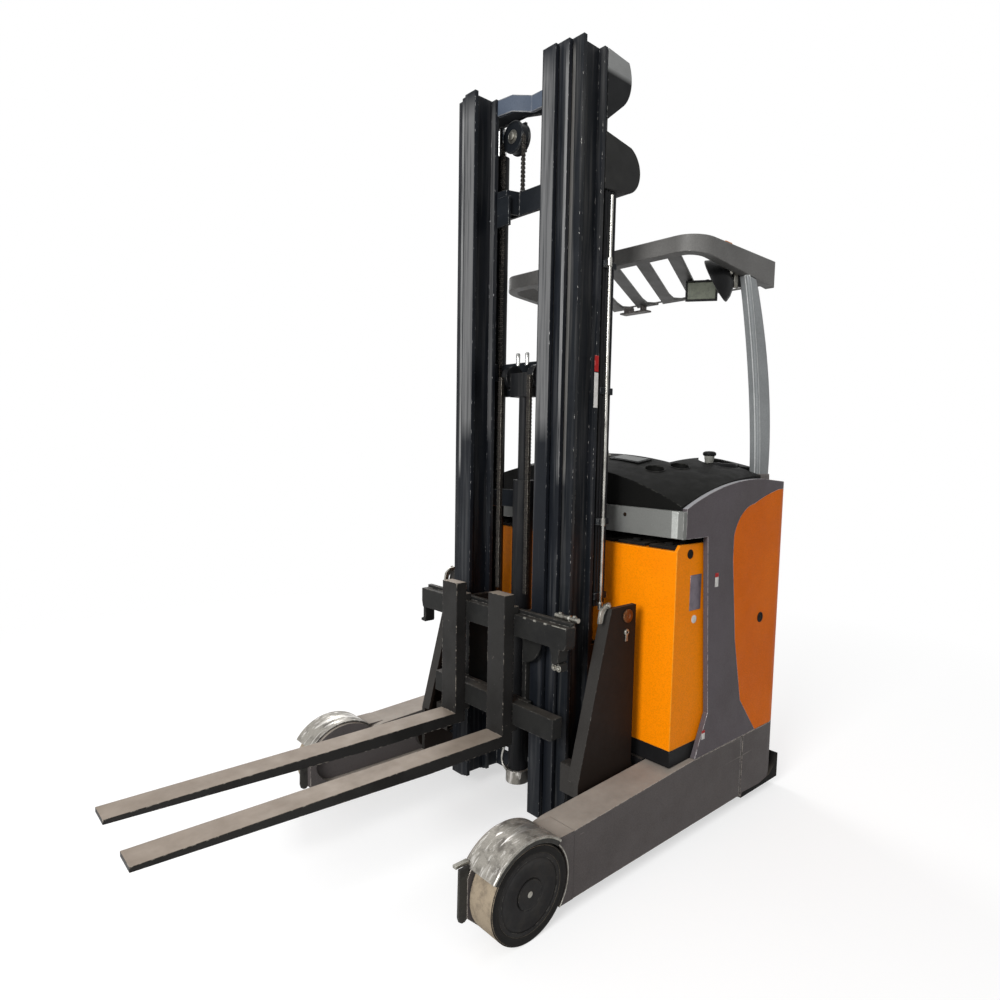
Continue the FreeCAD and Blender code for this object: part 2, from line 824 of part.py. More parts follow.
# The chassis frame lies between the arms: beams round the edge, a deck on top that carries
# the battery and the driver's place, and a round well for the drive unit.
side_beam = block("side_beam", ("arm_inner_x - beam_width", "arm_inner_x"),
                  (back("chassis_front_back"), "rear_y"), ("chassis_bottom", "deck_top"))
side_beam_twin = mirrored("side_beam_twin", side_beam)
front_beam = block("front_beam", ("-arm_inner_x", "arm_inner_x"),
                   (back("chassis_front_back"), back("chassis_front_back + beam_width")),
                   ("chassis_bottom", "deck_top"))
rear_beam = block("rear_beam", ("-arm_inner_x", "arm_inner_x"),
                  ("rear_y - shell_thickness", "rear_y"), ("chassis_bottom", "deck_top"))
deck = block("deck", ("-arm_inner_x", "arm_inner_x"), (back("chassis_front_back"), "rear_y"),
             ("deck_top - deck_thickness", "deck_top"))
drive_well = rod("drive_well", "z", ("drive_x", "drive_y"), "drive_well_radius",
                 "chassis_bottom - bite", "deck_top + bite")
reach_bore = rod("reach_bore", "y", ("reach_cylinder_x", "reach_line_height"),
                 "reach_cylinder_radius", back("chassis_front_back - bite"),
                 back("chassis_front_back + beam_width + bite"))
chassis_blank = fuse("chassis_blank", [side_beam, side_beam_twin, front_beam, rear_beam, deck])
node("chassis_frame", cut("chassis_frame", chassis_blank, [drive_well, reach_bore]))

# ---------------------------------------------------------------- load wheels
load_axle = rod("load_axle", "x", ("axle_y", "load_wheel_radius"), "load_axle_radius",
                "arm_web_outer_x", "wheel_outer_x - hub_cap_depth - moving_gap")
node("load_axles", group("load_axles", [load_axle, mirrored("load_axle_twin", load_axle)]))
hub_disc = rod("hub_disc", "x", ("axle_y", "load_wheel_radius"),
               "load_wheel_radius - load_tyre_thickness", "wheel_inner_x", "wheel_outer_x")
hub_bore = rod("hub_bore", "x", ("axle_y", "load_wheel_radius"),
               "load_axle_radius + running_gap", "wheel_inner_x - bite",
               "wheel_outer_x - hub_cap_depth")
hub_dish = rod("hub_dish", "x", ("axle_y", "load_wheel_radius"),
               "load_wheel_radius - load_tyre_thickness - hub_rim_width",
               "wheel_outer_x - hub_dish_depth", "wheel_outer_x + bite")
hub_cap = rod("hub_cap", "x", ("axle_y", "load_wheel_radius"), "load_axle_radius + hub_cap_wall",
              "wheel_outer_x - hub_dish_depth - bite", "wheel_outer_x")
hub_hollowed = cut("hub_hollowed", hub_disc, [hub_bore, hub_dish])
pair("load_wheel", fuse("load_wheel", [hub_hollowed, hub_cap]))
tyre_disc = rod("tyre_disc", "x", ("axle_y", "load_wheel_radius"), "load_wheel_radius",
                "wheel_inner_x", "wheel_outer_x")
tyre_bore = rod("tyre_bore", "x", ("axle_y", "load_wheel_radius"),
                "load_wheel_radius - load_tyre_thickness", "wheel_inner_x - bite",
                "wheel_outer_x + bite")
pair("load_tyre", cut("load_tyre", tyre_disc, [tyre_bore]))

# The wheel cover is a plate rolled round the axle, open below, on the arm's nose.
cover_disc = rod("cover_disc", "x", ("axle_y", "load_wheel_radius"),
                 "cover_inner_radius + cover_thickness", "cover_inner_x", "cover_side_x")
cover_hole = rod("cover_hole", "x", ("axle_y", "load_wheel_radius"), "cover_inner_radius",
                 "cover_inner_x - bite", "cover_side_x + bite")
cover_reach = "(cover_inner_radius + 3 * overshoot)"
cover_sector = prism("cover_sector", "yz", [
    ("axle_y", "load_wheel_radius"),
    (f"axle_y + {cover_reach} * cos(cover_front_angle)",
     f"load_wheel_radius + {cover_reach} * sin(cover_front_angle)"),
    (f"axle_y + {cover_reach} * cos(cover_front_angle)", f"load_wheel_radius + {cover_reach}"),
    (f"axle_y + {cover_reach} * cos(cover_rear_angle)", f"load_wheel_radius + {cover_reach}"),
    (f"axle_y + {cover_reach} * cos(cover_rear_angle)",
     f"load_wheel_radius + {cover_reach} * sin(cover_rear_angle)"),
], "cover_inner_x - bite", "cover_side_x + bite")
cover_ring = cut("cover_ring", cover_disc, [cover_hole])
cover_arch = common("cover_arch", cover_ring, cover_sector)
nose_y = "axle_y + arm_nose_radius * cos(arm_nose_angle) - rest_gap"
guard_plate = prism("guard_plate", "yz", [
    (back("-guard_plate_front"), "load_wheel_radius"),
    (back("-guard_plate_front + guard_plate_thickness"),
     "load_wheel_radius + guard_plate_rise"),
    (back("-guard_plate_rear"), "load_wheel_radius + guard_plate_rise"),
    (nose_y, "load_wheel_radius + arm_nose_radius * sin(arm_nose_angle) + rest_gap"),
    (nose_y, "guard_plate_low + overshoot"),
    (f"{nose_y} - overshoot / 2", "guard_plate_low"),
], "cover_inner_x", "cover_inner_x + guard_plate_thickness")
pair("wheel_cover", fuse("wheel_cover", [cover_arch, guard_plate]))

# ---------------------------------------------------------------- battery
node("battery_tray", block("battery_tray", ("-battery_side_x", "battery_side_x"),
                           ("battery_front_y", "battery_rear_y"),
                           ("battery_low", "battery_low + battery_tray_height")))
battery_case = block("battery_case", ("-battery_side_x", "battery_side_x"),
                     ("battery_front_y", "battery_rear_y"),
                     ("battery_low + battery_tray_height", "battery_high"))
# The side walls stand proud of the top, with a sloped notch at the front.
battery_lip = prism("battery_lip", "yz", [
    ("battery_front_y", "battery_high - bite"),
    ("battery_front_y", "battery_high"),
    ("battery_front_y + battery_notch", "battery_high + battery_lip_height"),
    ("battery_rear_y", "battery_high + battery_lip_height"),
    ("battery_rear_y", "battery_high - bite"),
], "battery_side_x - battery_lip_thickness", "battery_side_x")
node("battery", fuse("battery", [battery_case, battery_lip,
                                 mirrored("battery_lip_twin", battery_lip)]))

# ---------------------------------------------------------------- body panels
# Each side shell is bent sheet: one side of the truck, the rounded rear corner and a part
# of the back, which leaves the way in between the two shells.
def shell(name, back_end_x):
    """The bent sheet of the +X side, whose back ends at the given place."""
    body = prism(name, "xy", [
        ("body_side_x", back("band_front_back + band_depth")),
        ("body_side_x", "rear_y"),
        (back_end_x, "rear_y"),
        (back_end_x, "cab_rear_y"),
        ("shell_inner_x", "cab_rear_y"),
        ("shell_inner_x", back("band_front_back + band_depth")),
    ], "shell_bottom", "panel_top + overshoot")
    soften(body, "corner_radius", edge_at([("body_side_x", "rear_y")], "z"))
    soften(body, "corner_radius - shell_thickness",
           edge_at([("shell_inner_x", "cab_rear_y")], "z"))
    return body


def panel_side(name):
    """The side view of the painted panel: curved top, battery cut-out in front."""
    return prism(name, "yz", [
        (back("band_front_back"), "band_bottom"),
        (back("band_front_back"), "band_top"),
        ("rear_y - panel_crest_in", "panel_top",
         back("band_front_back + panel_bulge_run"), "panel_top - panel_bulge_drop"),
        ("rear_y + overshoot", "panel_top - panel_rear_drop"),
        ("rear_y + overshoot", "deck_top + panel_gap"),
        (back("arm_slope_back + overshoot"), "deck_top + panel_gap"),
        (back("battery_front_back + panel_toe_run"), "deck_top + panel_toe_height"),
        (back("battery_front_back + panel_edge_run"), "band_bottom"),
    ], "-body_side_x", "body_side_x + bite")


def inset_side(name, grow):
    """The side view of the coloured rear panel, a little larger for its cut-out."""
    return prism(name, "yz", [
        (f"rear_y - inset_front_in - {grow}", f"panel_top - inset_side_drop + {grow}"),
        (f"rear_y - inset_front_in - {grow}", f"panel_top - inset_front_drop + {grow}"),
        (f"rear_y - inset_shoulder_in - {grow}", f"panel_top - inset_shoulder_drop + {grow}",
         f"rear_y - inset_brow_in - {grow}", f"panel_top - inset_brow_drop + {grow}"),
        ("rear_y - inset_crest_in", f"panel_top - inset_crest_drop + {grow}",
         "rear_y - inset_bow_in", f"panel_top - inset_bow_drop + {grow}"),
        ("rear_y + overshoot", f"panel_top - inset_crest_drop + {grow}"),
        ("rear_y + overshoot", f"deck_top + panel_gap - {grow}"),
        ("rear_y - inset_toe_in", f"deck_top + panel_gap - {grow}"),
        (f"rear_y - inset_foot_in - {grow}", "panel_top - inset_foot_drop"),
        (f"rear_y - inset_waist_in - {grow}", "panel_top - inset_waist_drop"),
    ], "-body_side_x - bite", "body_side_x + bite")


def side_panels(side, back_end_x, twin):
    """The painted panel and the coloured rear panel of one side."""
    whole = common(f"panel_{side}", shell(f"shell_{side}", back_end_x),
                   panel_side(f"panel_side_{side}"))
    painted = cut(f"painted_{side}", whole, [inset_side(f"inset_hole_{side}", "panel_joint")])
    coloured = common(f"coloured_{side}", whole, inset_side(f"inset_{side}", "0"))
    for kind, piece in (("side_panel", painted), ("rear_panel", coloured)):
        node(f"{kind}_{side}", mirrored(kind + "_mirror", piece) if twin else piece)


side_panels("left", "console_inner_x", False)
side_panels("right", "-seat_base_x", True)

band = prism("hood_band", "xy", [
    ("-body_side_x", back("band_front_back")),
    ("-body_side_x", back("band_front_back + band_depth - rest_gap")),
    ("body_side_x", back("band_front_back + band_depth - rest_gap")),
    ("body_side_x", back("band_front_back")),
], "band_bottom", "band_top")
node("hood_band", band)
node("bulkhead", block("bulkhead", ("-lining_x", "lining_x"),
                       ("bulkhead_y", "cab_front_y"), ("deck_top", "dash_bottom - rest_gap")))

# The dash is the black moulded top over the battery and along the driver's left.
def dash_section(edge, crown):
    """One arched section of the dash, from side to side."""
    return [
        ("-lining_x", "dash_bottom"),
        ("-lining_x", edge),
        ("lining_x", edge, "0", crown),
        ("lining_x", "dash_bottom"),
    ]


dash_blank = loft("dash_blank", "xz", [
    (back("band_front_back + band_depth"), dash_section("band_top + dash_lip", "dash_crown - dash_front_drop")),
    (back("band_front_back + band_depth + dash_shoulder_run"),
     dash_section("panel_top - dash_shoulder_drop", "dash_crown - dash_shoulder_crown_drop")),
    (back("band_front_back + band_depth + dash_crest_run"),
     dash_section("panel_top + dash_edge_lift", "dash_crown")),
    ("cab_rear_y - panel_gap", dash_section("panel_top", "dash_crown - dash_rear_drop")),
])
seat_room = block("seat_room", ("-shell_inner_x", "console_inner_x"),
                  ("cab_front_y", "rear_y"), ("dash_bottom - bite", "dash_top"))
cup_holes = [rod(f"{place}_hole", "z", (f"{place}_x", f"battery_front_y + {place}_run"),
                 "cup_radius", "panel_top - cup_depth", "dash_top")
             for place in ("front_cup", "rear_cup")]
wheel_recess = rod("wheel_recess", "z", ("steering_wheel_x", "steering_y"),
                   "steering_wheel_radius + steering_wheel_room",
                   "steering_wheel_height - steering_stem_height", "dash_top")
pillar_slot = block("pillar_slot", ("pillar_side_x - pillar_width - panel_gap",
                                    "shell_inner_x"),
                    ("step_y", "cab_rear_y"), ("dash_bottom - bite", "dash_top"))
node("dash", cut("dash", dash_blank, [seat_room, *cup_holes, wheel_recess, pillar_slot]))

# ---------------------------------------------------------------- driver's place
node("steering_console", block("steering_console",
                               ("console_inner_x", "lining_x"), ("cab_front_y + rest_gap", "step_y"),
                               ("floor_top + rest_gap", "dash_bottom - rest_gap")))
floor_deck = block("floor_deck", ("seat_base_x + rest_gap", "lining_x"), ("cab_front_y + rest_gap", "step_y"),
                   ("floor_top - floor_thickness", "floor_top"))
node("hydraulic_unit", block("hydraulic_unit", ("seat_base_x + unit_seat_gap", "lining_x - unit_side_gap"),
                             ("cab_front_y + unit_front_gap", "step_y - unit_rear_gap"),
                             ("deck_top", "floor_top - floor_thickness")))
step_riser = block("step_riser", ("seat_base_x + rest_gap", "console_inner_x"),
                   ("step_y", "step_y + floor_thickness"), ("deck_top", "floor_top"))
step_tread = block("step_tread", ("seat_base_x + rest_gap", "console_inner_x"),
                   ("step_y", "rear_y"), ("deck_top", "deck_top + step_tread_thickness"))
node("floor_and_step", fuse("floor_and_step", [floor_deck, step_riser, step_tread]))
pedal_blocks = [block(f"pedal_{number}", (low, f"{low} + pedal_width"),
                      ("cab_front_y + pedal_set_back",
                       "cab_front_y + pedal_set_back + pedal_length"),
                      ("floor_top", "floor_top + pedal_height"))
                for number, low in enumerate(("brake_pedal_x", "drive_pedal_x"))]
seat_box = block("seat_box", ("-lining_x", "seat_base_x"),
                 ("cab_front_y + rest_gap", "cab_rear_y - panel_gap"),
                 ("deck_top", "seat_box_top"))
seat_box_room = block("seat_box_room", ("-lining_x + seat_end_wall + pillar_width",
                                        "seat_base_x - seat_wall"),
                      ("cab_front_y + seat_wall", "cab_rear_y - panel_gap - seat_wall"),
                      ("deck_top - bite", "motor_top + motor_headroom"))
seat_pillar_slot = block("seat_pillar_slot",
                         ("-shell_inner_x", "-pillar_side_x + pillar_width + panel_gap"),
                         ("step_y", "rear_y"), ("deck_top - bite", "seat_pan_top"))
seat_mount = block("seat_mount", ("seat_base_x - seat_mount_set_in - seat_mount_width",
                                  "seat_base_x - seat_mount_set_in"),
                   ("cab_front_y + seat_mount_set_in", "cab_rear_y - seat_mount_set_in"),
                   ("seat_box_top - bite", "seat_pan_top"))
seat_shell = cut("seat_shell", seat_box, [seat_box_room, seat_pillar_slot])
node("seat_base", fuse("seat_base", [seat_shell, seat_mount]))
node("seat_cushion", block("seat_cushion", ("seat_rear_x", "seat_rear_x + seat_depth"),
                           ("cab_front_y + seat_side_gap", "cab_rear_y - seat_belt_room"),
                           ("seat_pan_top + rest_gap", "seat_top")))
node("seat_back", block("seat_back",
                        ("seat_rear_x", "seat_rear_x + seat_back_thickness"),
                        ("cab_front_y + seat_side_gap", "cab_rear_y - seat_belt_room"),
                        ("seat_top + rest_gap", "seat_back_top")))
lever_stem = rod("lever_stem", "z", ("lever_x", "cab_front_y - lever_set_in"), "lever_radius",
                 "dash_bottom", "dash_crown + lever_rise")
node("controls", group("controls", [*pedal_blocks, cut("lever", lever_stem, [dash_blank])]))

# The steering wheel is a small flat disc with a spinner knob near its rim.
wheel_disc = rod("wheel_disc", "z", ("steering_wheel_x", "steering_y"),
                 "steering_wheel_radius", "steering_wheel_height - steering_wheel_thickness",
                 "steering_wheel_height")
wheel_stem = rod("wheel_stem", "z", ("steering_wheel_x", "steering_y"), "steering_stem_radius",
                 "steering_wheel_height - steering_stem_height + rest_gap",
                 "steering_wheel_height - bite")
wheel_knob = rod("wheel_knob", "z", ("steering_wheel_x - knob_offset_x", "steering_y - knob_offset"),
                 "knob_radius", "steering_wheel_height - bite", "knob_top")
node("steering_wheel", fuse("steering_wheel", [wheel_disc, wheel_stem, wheel_knob]))

# ---------------------------------------------------------------- overhead guard
def roof_low(distance):
    """The height of the roof band's lower edge at a distance behind the axle."""
    return (f"roof_low_front - (({distance}) - roof_front_back)"
            f" * (roof_low_front - roof_low_rear) / (roof_rear_back - roof_front_back)")


roof_ring = prism("roof_ring", "xy", [
    ("-roof_side_x", "roof_front_y"),
    ("-roof_side_x", "roof_rear_y"),
    ("roof_side_x", "roof_rear_y"),
    ("roof_side_x", "roof_front_y"),
], "roof_low_rear - overshoot", "guard_height")
soften(roof_ring, "roof_corner_radius",
       edge_at([("-roof_side_x", "roof_front_y"), ("roof_side_x", "roof_front_y")], "z"))
roof_hole = prism("roof_hole", "xy", [
    ("-roof_side_x + roof_band_width", "roof_front_y + roof_band_width"),
    ("-roof_side_x + roof_band_width", "roof_rear_y - roof_band_width"),
    ("roof_side_x - roof_band_width", "roof_rear_y - roof_band_width"),
    ("roof_side_x - roof_band_width", "roof_front_y + roof_band_width"),
], "roof_low_rear - 2 * overshoot", "guard_height + overshoot")
soften(roof_hole, "roof_corner_radius - roof_band_width",
       edge_at([("-roof_side_x + roof_band_width", "roof_front_y + roof_band_width"),
                ("roof_side_x - roof_band_width", "roof_front_y + roof_band_width")], "z"))
roof_under = prism("roof_under", "yz", [
    (back("roof_front_back - overshoot"), roof_low("roof_front_back - overshoot")),
    (back("roof_rear_back + overshoot"), roof_low("roof_rear_back + overshoot")),
    (back("roof_rear_back + overshoot"), "roof_low_rear - 3 * overshoot"),
    (back("roof_front_back - overshoot"), "roof_low_rear - 3 * overshoot"),
], "-roof_side_x - bite", "roof_side_x + bite")
roof_band = cut("roof_band", roof_ring, [roof_hole, roof_under])
roof_slab = prism("roof_slab", "yz", [
    ("roof_front_y", "roof_low_front + roof_bar_lift"),
    ("roof_rear_y", "roof_low_rear + roof_bar_lift"),
    ("roof_rear_y", "roof_low_rear + roof_bar_lift + roof_bar_thickness"),
    ("roof_front_y", "roof_low_front + roof_bar_lift + roof_bar_thickness"),
], "-roof_side_x", "roof_side_x")
roof_panel = common("roof_panel", roof_slab, roof_ring)
roof_bars = []
for number in range(-4, 3):
    front = f"(roof_bar_x + {number} * roof_bar_pitch)"
    rear = f"({front} - roof_length * roof_bar_slant)"
    strip = prism(f"roof_strip_{number + 4}", "xy", [
        (f"{front} - roof_bar_width / 2", "roof_front_y"),
        (f"{front} + roof_bar_width / 2", "roof_front_y"),
        (f"{rear} + roof_bar_width / 2", "roof_rear_y"),
        (f"{rear} - roof_bar_width / 2", "roof_rear_y"),
    ], "roof_low_rear", "guard_height")
    roof_bars.append(common(f"roof_bar_{number + 4}", roof_panel, strip))
roof_guard = node("roof_guard", fuse("roof_guard", [roof_band, *roof_bars]))
knee = "(panel_top + pillar_knee_rise)"
rear_knee = "(panel_top + pillar_rear_knee_rise)"
head_front = "(pillar_front_back - pillar_lean)"
head_rear = "(pillar_front_back - pillar_lean + pillar_head_width)"
pair("pillar", prism("pillar", "yz", [
    (back("pillar_front_back"), "deck_top"),
    (back("pillar_front_back"), knee),
    (back(head_front), roof_low(head_front) + " - rest_gap",
     back("pillar_front_back - pillar_bow"), f"({knee} + roof_low_rear) / 2"),
    (back(head_rear), roof_low(head_rear) + " - rest_gap"),
    (back("pillar_rear_back"), rear_knee,
     back("pillar_rear_back - pillar_rear_bow"), f"({rear_knee} + roof_low_rear) / 2"),
    (back("pillar_rear_back"), "deck_top"),
], "pillar_side_x - pillar_width", "pillar_side_x"))
# A round mirror turned to the driver and a work lamp turned to the forks hang from the roof.
mirror_dish = doc.addObject("Part::Cone", "mirror_dish")
mirror_dish.Placement = Placement(Vector(), Rotation(Vector(0, 0, 1), Vector(5, 1.5, 2.5)))
for name, text in (("Radius1", "mirror_radius"), ("Radius2", "mirror_neck_radius"),
                   ("Height", "mirror_depth"), ("Placement.Base.x", "mirror_x"),
                   ("Placement.Base.y", "mirror_y"), ("Placement.Base.z", "mirror_z")):
    mirror_dish.setExpression(name, formula(text))
arm_x = "(mirror_x + mirror_depth - mirror_arm_radius)"
arm_y = "(mirror_y + mirror_arm_radius)"
arm_low = "(" + roof_low("roof_front_back + mirror_run") + ")"
mirror_arm = rod("mirror_arm", "z", (arm_x, arm_y), "mirror_arm_radius", "mirror_z",
                 f"{arm_low} + overshoot")
mirror_foot = block("mirror_foot", (arm_x, "roof_side_x - roof_band_width + bite"),
                    (f"{arm_y} - mirror_arm_radius", f"{arm_y} + mirror_arm_radius"),
                    (f"{arm_low} + mirror_arm_radius", f"{arm_low} + overshoot"))
mirror = cut("mirror", fuse("mirror_whole", [mirror_dish, mirror_arm, mirror_foot]),
             [roof_guard])
lamp_case = block("lamp_case", ("lamp_x", "lamp_x + lamp_width"),
                  ("mirror_y - lamp_depth / 2", "mirror_y + lamp_depth / 2"),
                  ("mirror_z - lamp_height / 2", "mirror_z + lamp_height / 2"))
lamp_stem = block("lamp_stem", ("lamp_x", "lamp_x + overshoot"),
                  ("mirror_y - mirror_arm_radius", "mirror_y + mirror_arm_radius"),
                  ("mirror_z", f"{arm_low} + overshoot"))
lamp = cut("lamp", fuse("lamp_whole", [lamp_case, lamp_stem]), [roof_guard])
node("roof_fittings", group("roof_fittings", [mirror, lamp]))

# ---------------------------------------------------------------- drive unit
motor_case = rod("motor_case", "z", ("drive_x", "drive_y"), "motor_radius",
                 "motor_bottom", "motor_top")
motor_flange = block("motor_flange", ("drive_x - drive_well_radius - moving_gap - motor_foot_width",
                                      "drive_x + motor_flange_reach"),
                     ("cab_front_y + 2 * seat_wall", "cab_rear_y - 2 * seat_wall"),
                     ("motor_bottom", "motor_bottom + motor_flange_thickness"))
flange_foot = block("flange_foot", ("drive_x - drive_well_radius - moving_gap - motor_foot_width",
                                    "drive_x - drive_well_radius - moving_gap"),
                    ("cab_front_y + 2 * seat_wall", "cab_rear_y - 2 * seat_wall"),
                    ("deck_top", "motor_bottom + bite"))
motor_bore = rod("motor_bore", "z", ("drive_x", "drive_y"), "spigot_radius + running_gap",
                 "turntable_top", "turntable_top + spigot_height + moving_gap")
node("drive_motor", cut("drive_motor", fuse("motor_whole", [motor_case, motor_flange,
                                                            flange_foot]), [motor_bore]))
turntable = rod("turntable", "z", ("drive_x", "drive_y"), "turntable_radius",
                "turntable_bottom", "turntable_top")
spigot = rod("spigot", "z", ("drive_x", "drive_y"), "spigot_radius",
             "turntable_top - bite", "turntable_top + spigot_height")
gear_case = block("gear_case", ("drive_x - drive_wheel_width / 2 - moving_gap - gear_case_width",
                                "drive_x - drive_wheel_width / 2 - moving_gap"),
                  ("drive_y - gear_case_length / 2", "drive_y + gear_case_length / 2"),
                  ("gear_case_bottom", "turntable_bottom + bite"))
drive_axle = rod("drive_axle", "x", ("drive_y", "drive_wheel_radius"), "drive_axle_radius",
                 "drive_x - drive_wheel_width / 2 - moving_gap - bite",
                 "drive_x + drive_wheel_width / 2 - 3 * moving_gap")
node("drive_unit", fuse("drive_unit", [turntable, spigot, gear_case, drive_axle]))
drive_disc = rod("drive_disc", "x", ("drive_y", "drive_wheel_radius"), "drive_wheel_radius",
                 "drive_x - drive_wheel_width / 2", "drive_x + drive_wheel_width / 2")
drive_bore = rod("drive_bore", "x", ("drive_y", "drive_wheel_radius"),
                 "drive_axle_radius + running_gap", "drive_x - drive_wheel_width / 2 - bite",
                 "drive_x + drive_wheel_width / 2 - 2 * moving_gap")
node("drive_wheel", cut("drive_wheel", drive_disc, [drive_bore]))

# ---------------------------------------------------------------- reach carriage
plate_web = prism("plate_web", "yz", [
    (back("reach_foot_back"), "reach_plate_bottom"),
    (back("reach_foot_back"), "deck_top"),
    (back("reach_head_back"), "reach_top"),
    (back("reach_rear_back"), "reach_top"),
    (back("reach_rear_back"), "deck_top"),
    (back("reach_heel_back"), "deck_top - reach_heel_drop"),
    (back("reach_heel_back"), "reach_plate_bottom"),
], "reach_inner_x", "reach_outer_x")
plate_flange = prism("plate_flange", "yz", [
    (back("reach_foot_back"), "deck_top"),
    (back("reach_head_back"), "reach_top"),
    (back("reach_head_back + reach_flange_thickness"), "reach_top"),
    (back("reach_foot_back + reach_flange_thickness"), "deck_top"),
], "reach_inner_x - reach_flange_depth", "reach_outer_x")
pivot_bore = rod("pivot_bore", "x", ("tilt_pin_y", "reach_roller_z"),
                 "tilt_pin_radius + running_gap", "reach_inner_x - bite",
                 "reach_outer_x + bite")
reach_rollers = []
for number, place in enumerate(("reach_roller_front_y", back("reach_roller_back"))):
    reach_rollers.append(rod(f"reach_roller_{number}", "x", (place, "reach_roller_z"),
                             "reach_roller_radius", "reach_outer_x + reach_roller_hub + moving_gap",
                             "arm_web_inner_x - reach_roller_play"))
    reach_rollers.append(rod(f"reach_stub_{number}", "x", (place, "reach_roller_z"),
                             "reach_stub_radius", "reach_outer_x - bite",
                             "reach_outer_x + reach_roller_hub + moving_gap + bite"))
plate_whole = fuse("plate_whole", [plate_web, plate_flange, *reach_rollers])
pair("reach_plate", cut("reach_plate", plate_whole, [pivot_bore]))
reach_cross = block("reach_cross", ("-reach_inner_x + rest_gap",
                                  "reach_inner_x - rest_gap"),
                   (back("reach_heel_back - reach_beam_thickness"), back("reach_heel_back")),
                   ("reach_plate_bottom + reach_beam_lift", "deck_top - reach_heel_drop"))
reach_rod = rod("reach_rod", "y", ("reach_cylinder_x", "reach_line_height"), "reach_rod_radius",
                back("reach_heel_back - bite"), back("reach_heel_back + reach_rod_length"))
node("reach_beam", fuse("reach_beam", [reach_cross, reach_rod]))
reach_tube = rod("reach_tube", "y", ("reach_cylinder_x", "reach_line_height"),
                 "reach_cylinder_radius", back("chassis_front_back"),
                 back("reach_heel_back + reach_tube_length"))
reach_tube_bore = rod("reach_tube_bore", "y", ("reach_cylinder_x", "reach_line_height"),
                      "reach_rod_radius + running_gap", back("chassis_front_back - bite"),
                      back("reach_heel_back + reach_rod_length + overshoot"))
node("reach_cylinder", cut("reach_cylinder", reach_tube, [reach_tube_bore]))

# ---------------------------------------------------------------- mast
def upright(name, inner, outer, web, front, low, high):
    """One stage's upright: two flanges across, which lap the next stage's, and a web."""
    rear = f"{front} + mast_depth"
    return prism(name, "xy", [
        (inner, front),
        (outer, front),
        (outer, f"{front} + flange_thickness"),
        (web, f"{front} + flange_thickness"),
        (web, f"{rear} - flange_thickness"),
        (outer, f"{rear} - flange_thickness"),
        (outer, rear),
        (inner, rear),
        (inner, f"{rear} - flange_thickness"),
        (f"{web} - web_thickness", f"{rear} - flange_thickness"),
        (f"{web} - web_thickness", f"{front} + flange_thickness"),
        (inner, f"{front} + flange_thickness"),
    ], low, high)


def guide_roller(name, low, high, middle, height, radius="roller_radius"):
    """A roller that runs between an upright's flanges."""
    return rod(name, "x", (middle, height), radius, low, high)


def stub(name, low, high, middle, height):
    """The short axle that carries a guide roller."""
    return rod(name, "x", (middle, height), "roller_stub_radius", low, high)


outer_roller_z = "outer_top - outer_roller_drop"
pair("mast_outer", fuse("mast_outer", [
    upright("outer_channel", "outer_inner_x", "outer_stage_x", "outer_web_x",
            "outer_front_y", "outer_bottom", "outer_top"),
    guide_roller("outer_roller", "middle_web_x + roller_side_gap",
                 "middle_outer_x - roller_proud", "outer_roller_y", outer_roller_z),
    stub("outer_stub", "middle_outer_x - roller_proud - bite",
         "outer_web_x - web_thickness + bite", "outer_roller_y", outer_roller_z),
    rod("tilt_pin", "x", ("tilt_pin_y", "reach_roller_z"), "tilt_pin_radius",
        "outer_web_x - bite", "reach_outer_x"),
]))
middle_low_z = "middle_bottom + roller_set_in"
middle_top_z = "middle_top - middle_roller_drop"
pair("mast_middle", fuse("mast_middle", [
    upright("middle_beam", "middle_inner_x", "middle_outer_x", "middle_web_x",
            "middle_front_y", "middle_bottom", "middle_top"),
    guide_roller("middle_low_roller", "outer_inner_x + roller_start",
                 "outer_web_x - web_thickness - roller_side_gap", "outer_roller_y",
                 middle_low_z),
    stub("middle_low_stub", "middle_web_x - bite", "outer_inner_x + roller_start + bite",
         "outer_roller_y", middle_low_z),
    guide_roller("middle_top_roller", "inner_web_x + roller_side_gap",
                 "inner_outer_x - roller_proud", "inner_roller_y", middle_top_z),
    stub("middle_top_stub", "inner_outer_x - roller_proud - bite",
         "middle_web_x - web_thickness + bite", "inner_roller_y", middle_top_z),
]))
inner_roller_z = "inner_bottom + roller_set_in"
pair("mast_inner", fuse("mast_inner", [
    upright("inner_beam", "inner_inner_x", "inner_outer_x", "inner_web_x",
            "mast_front_y", "inner_bottom", "inner_top"),
    guide_roller("inner_roller", "middle_inner_x + roller_side_gap",
                 "middle_web_x - web_thickness - roller_side_gap", "inner_roller_y",
                 inner_roller_z),
    stub("inner_stub", "inner_web_x - bite", "middle_inner_x + roller_side_gap + bite",
         "inner_roller_y", inner_roller_z),
]))


def share(portion):
    """A height that is a share of the outer stage's."""
    return f"outer_bottom + {portion} * outer_height"


def tie(name, half_width, lug_x, front, rear, heights):
    """Cross ties behind a stage, each with lugs forward to its uprights."""
    pieces = []
    for number, height in enumerate(heights):
        span = ("(" + height + ")", "(" + height + ") + tie_height")
        pieces.append(block(f"{name}_bar_{number}", (f"-({half_width})", half_width),
                            (f"{rear} - tie_thickness", rear), span))
        for side, (low, high) in (("p", (f"({half_width}) - {lug_x}", half_width)),
                                  ("n", (f"-({half_width})", f"-({half_width}) + {lug_x}"))):
            pieces.append(block(f"{name}_lug_{number}_{side}", (low, high), (front, rear), span))
    return pieces


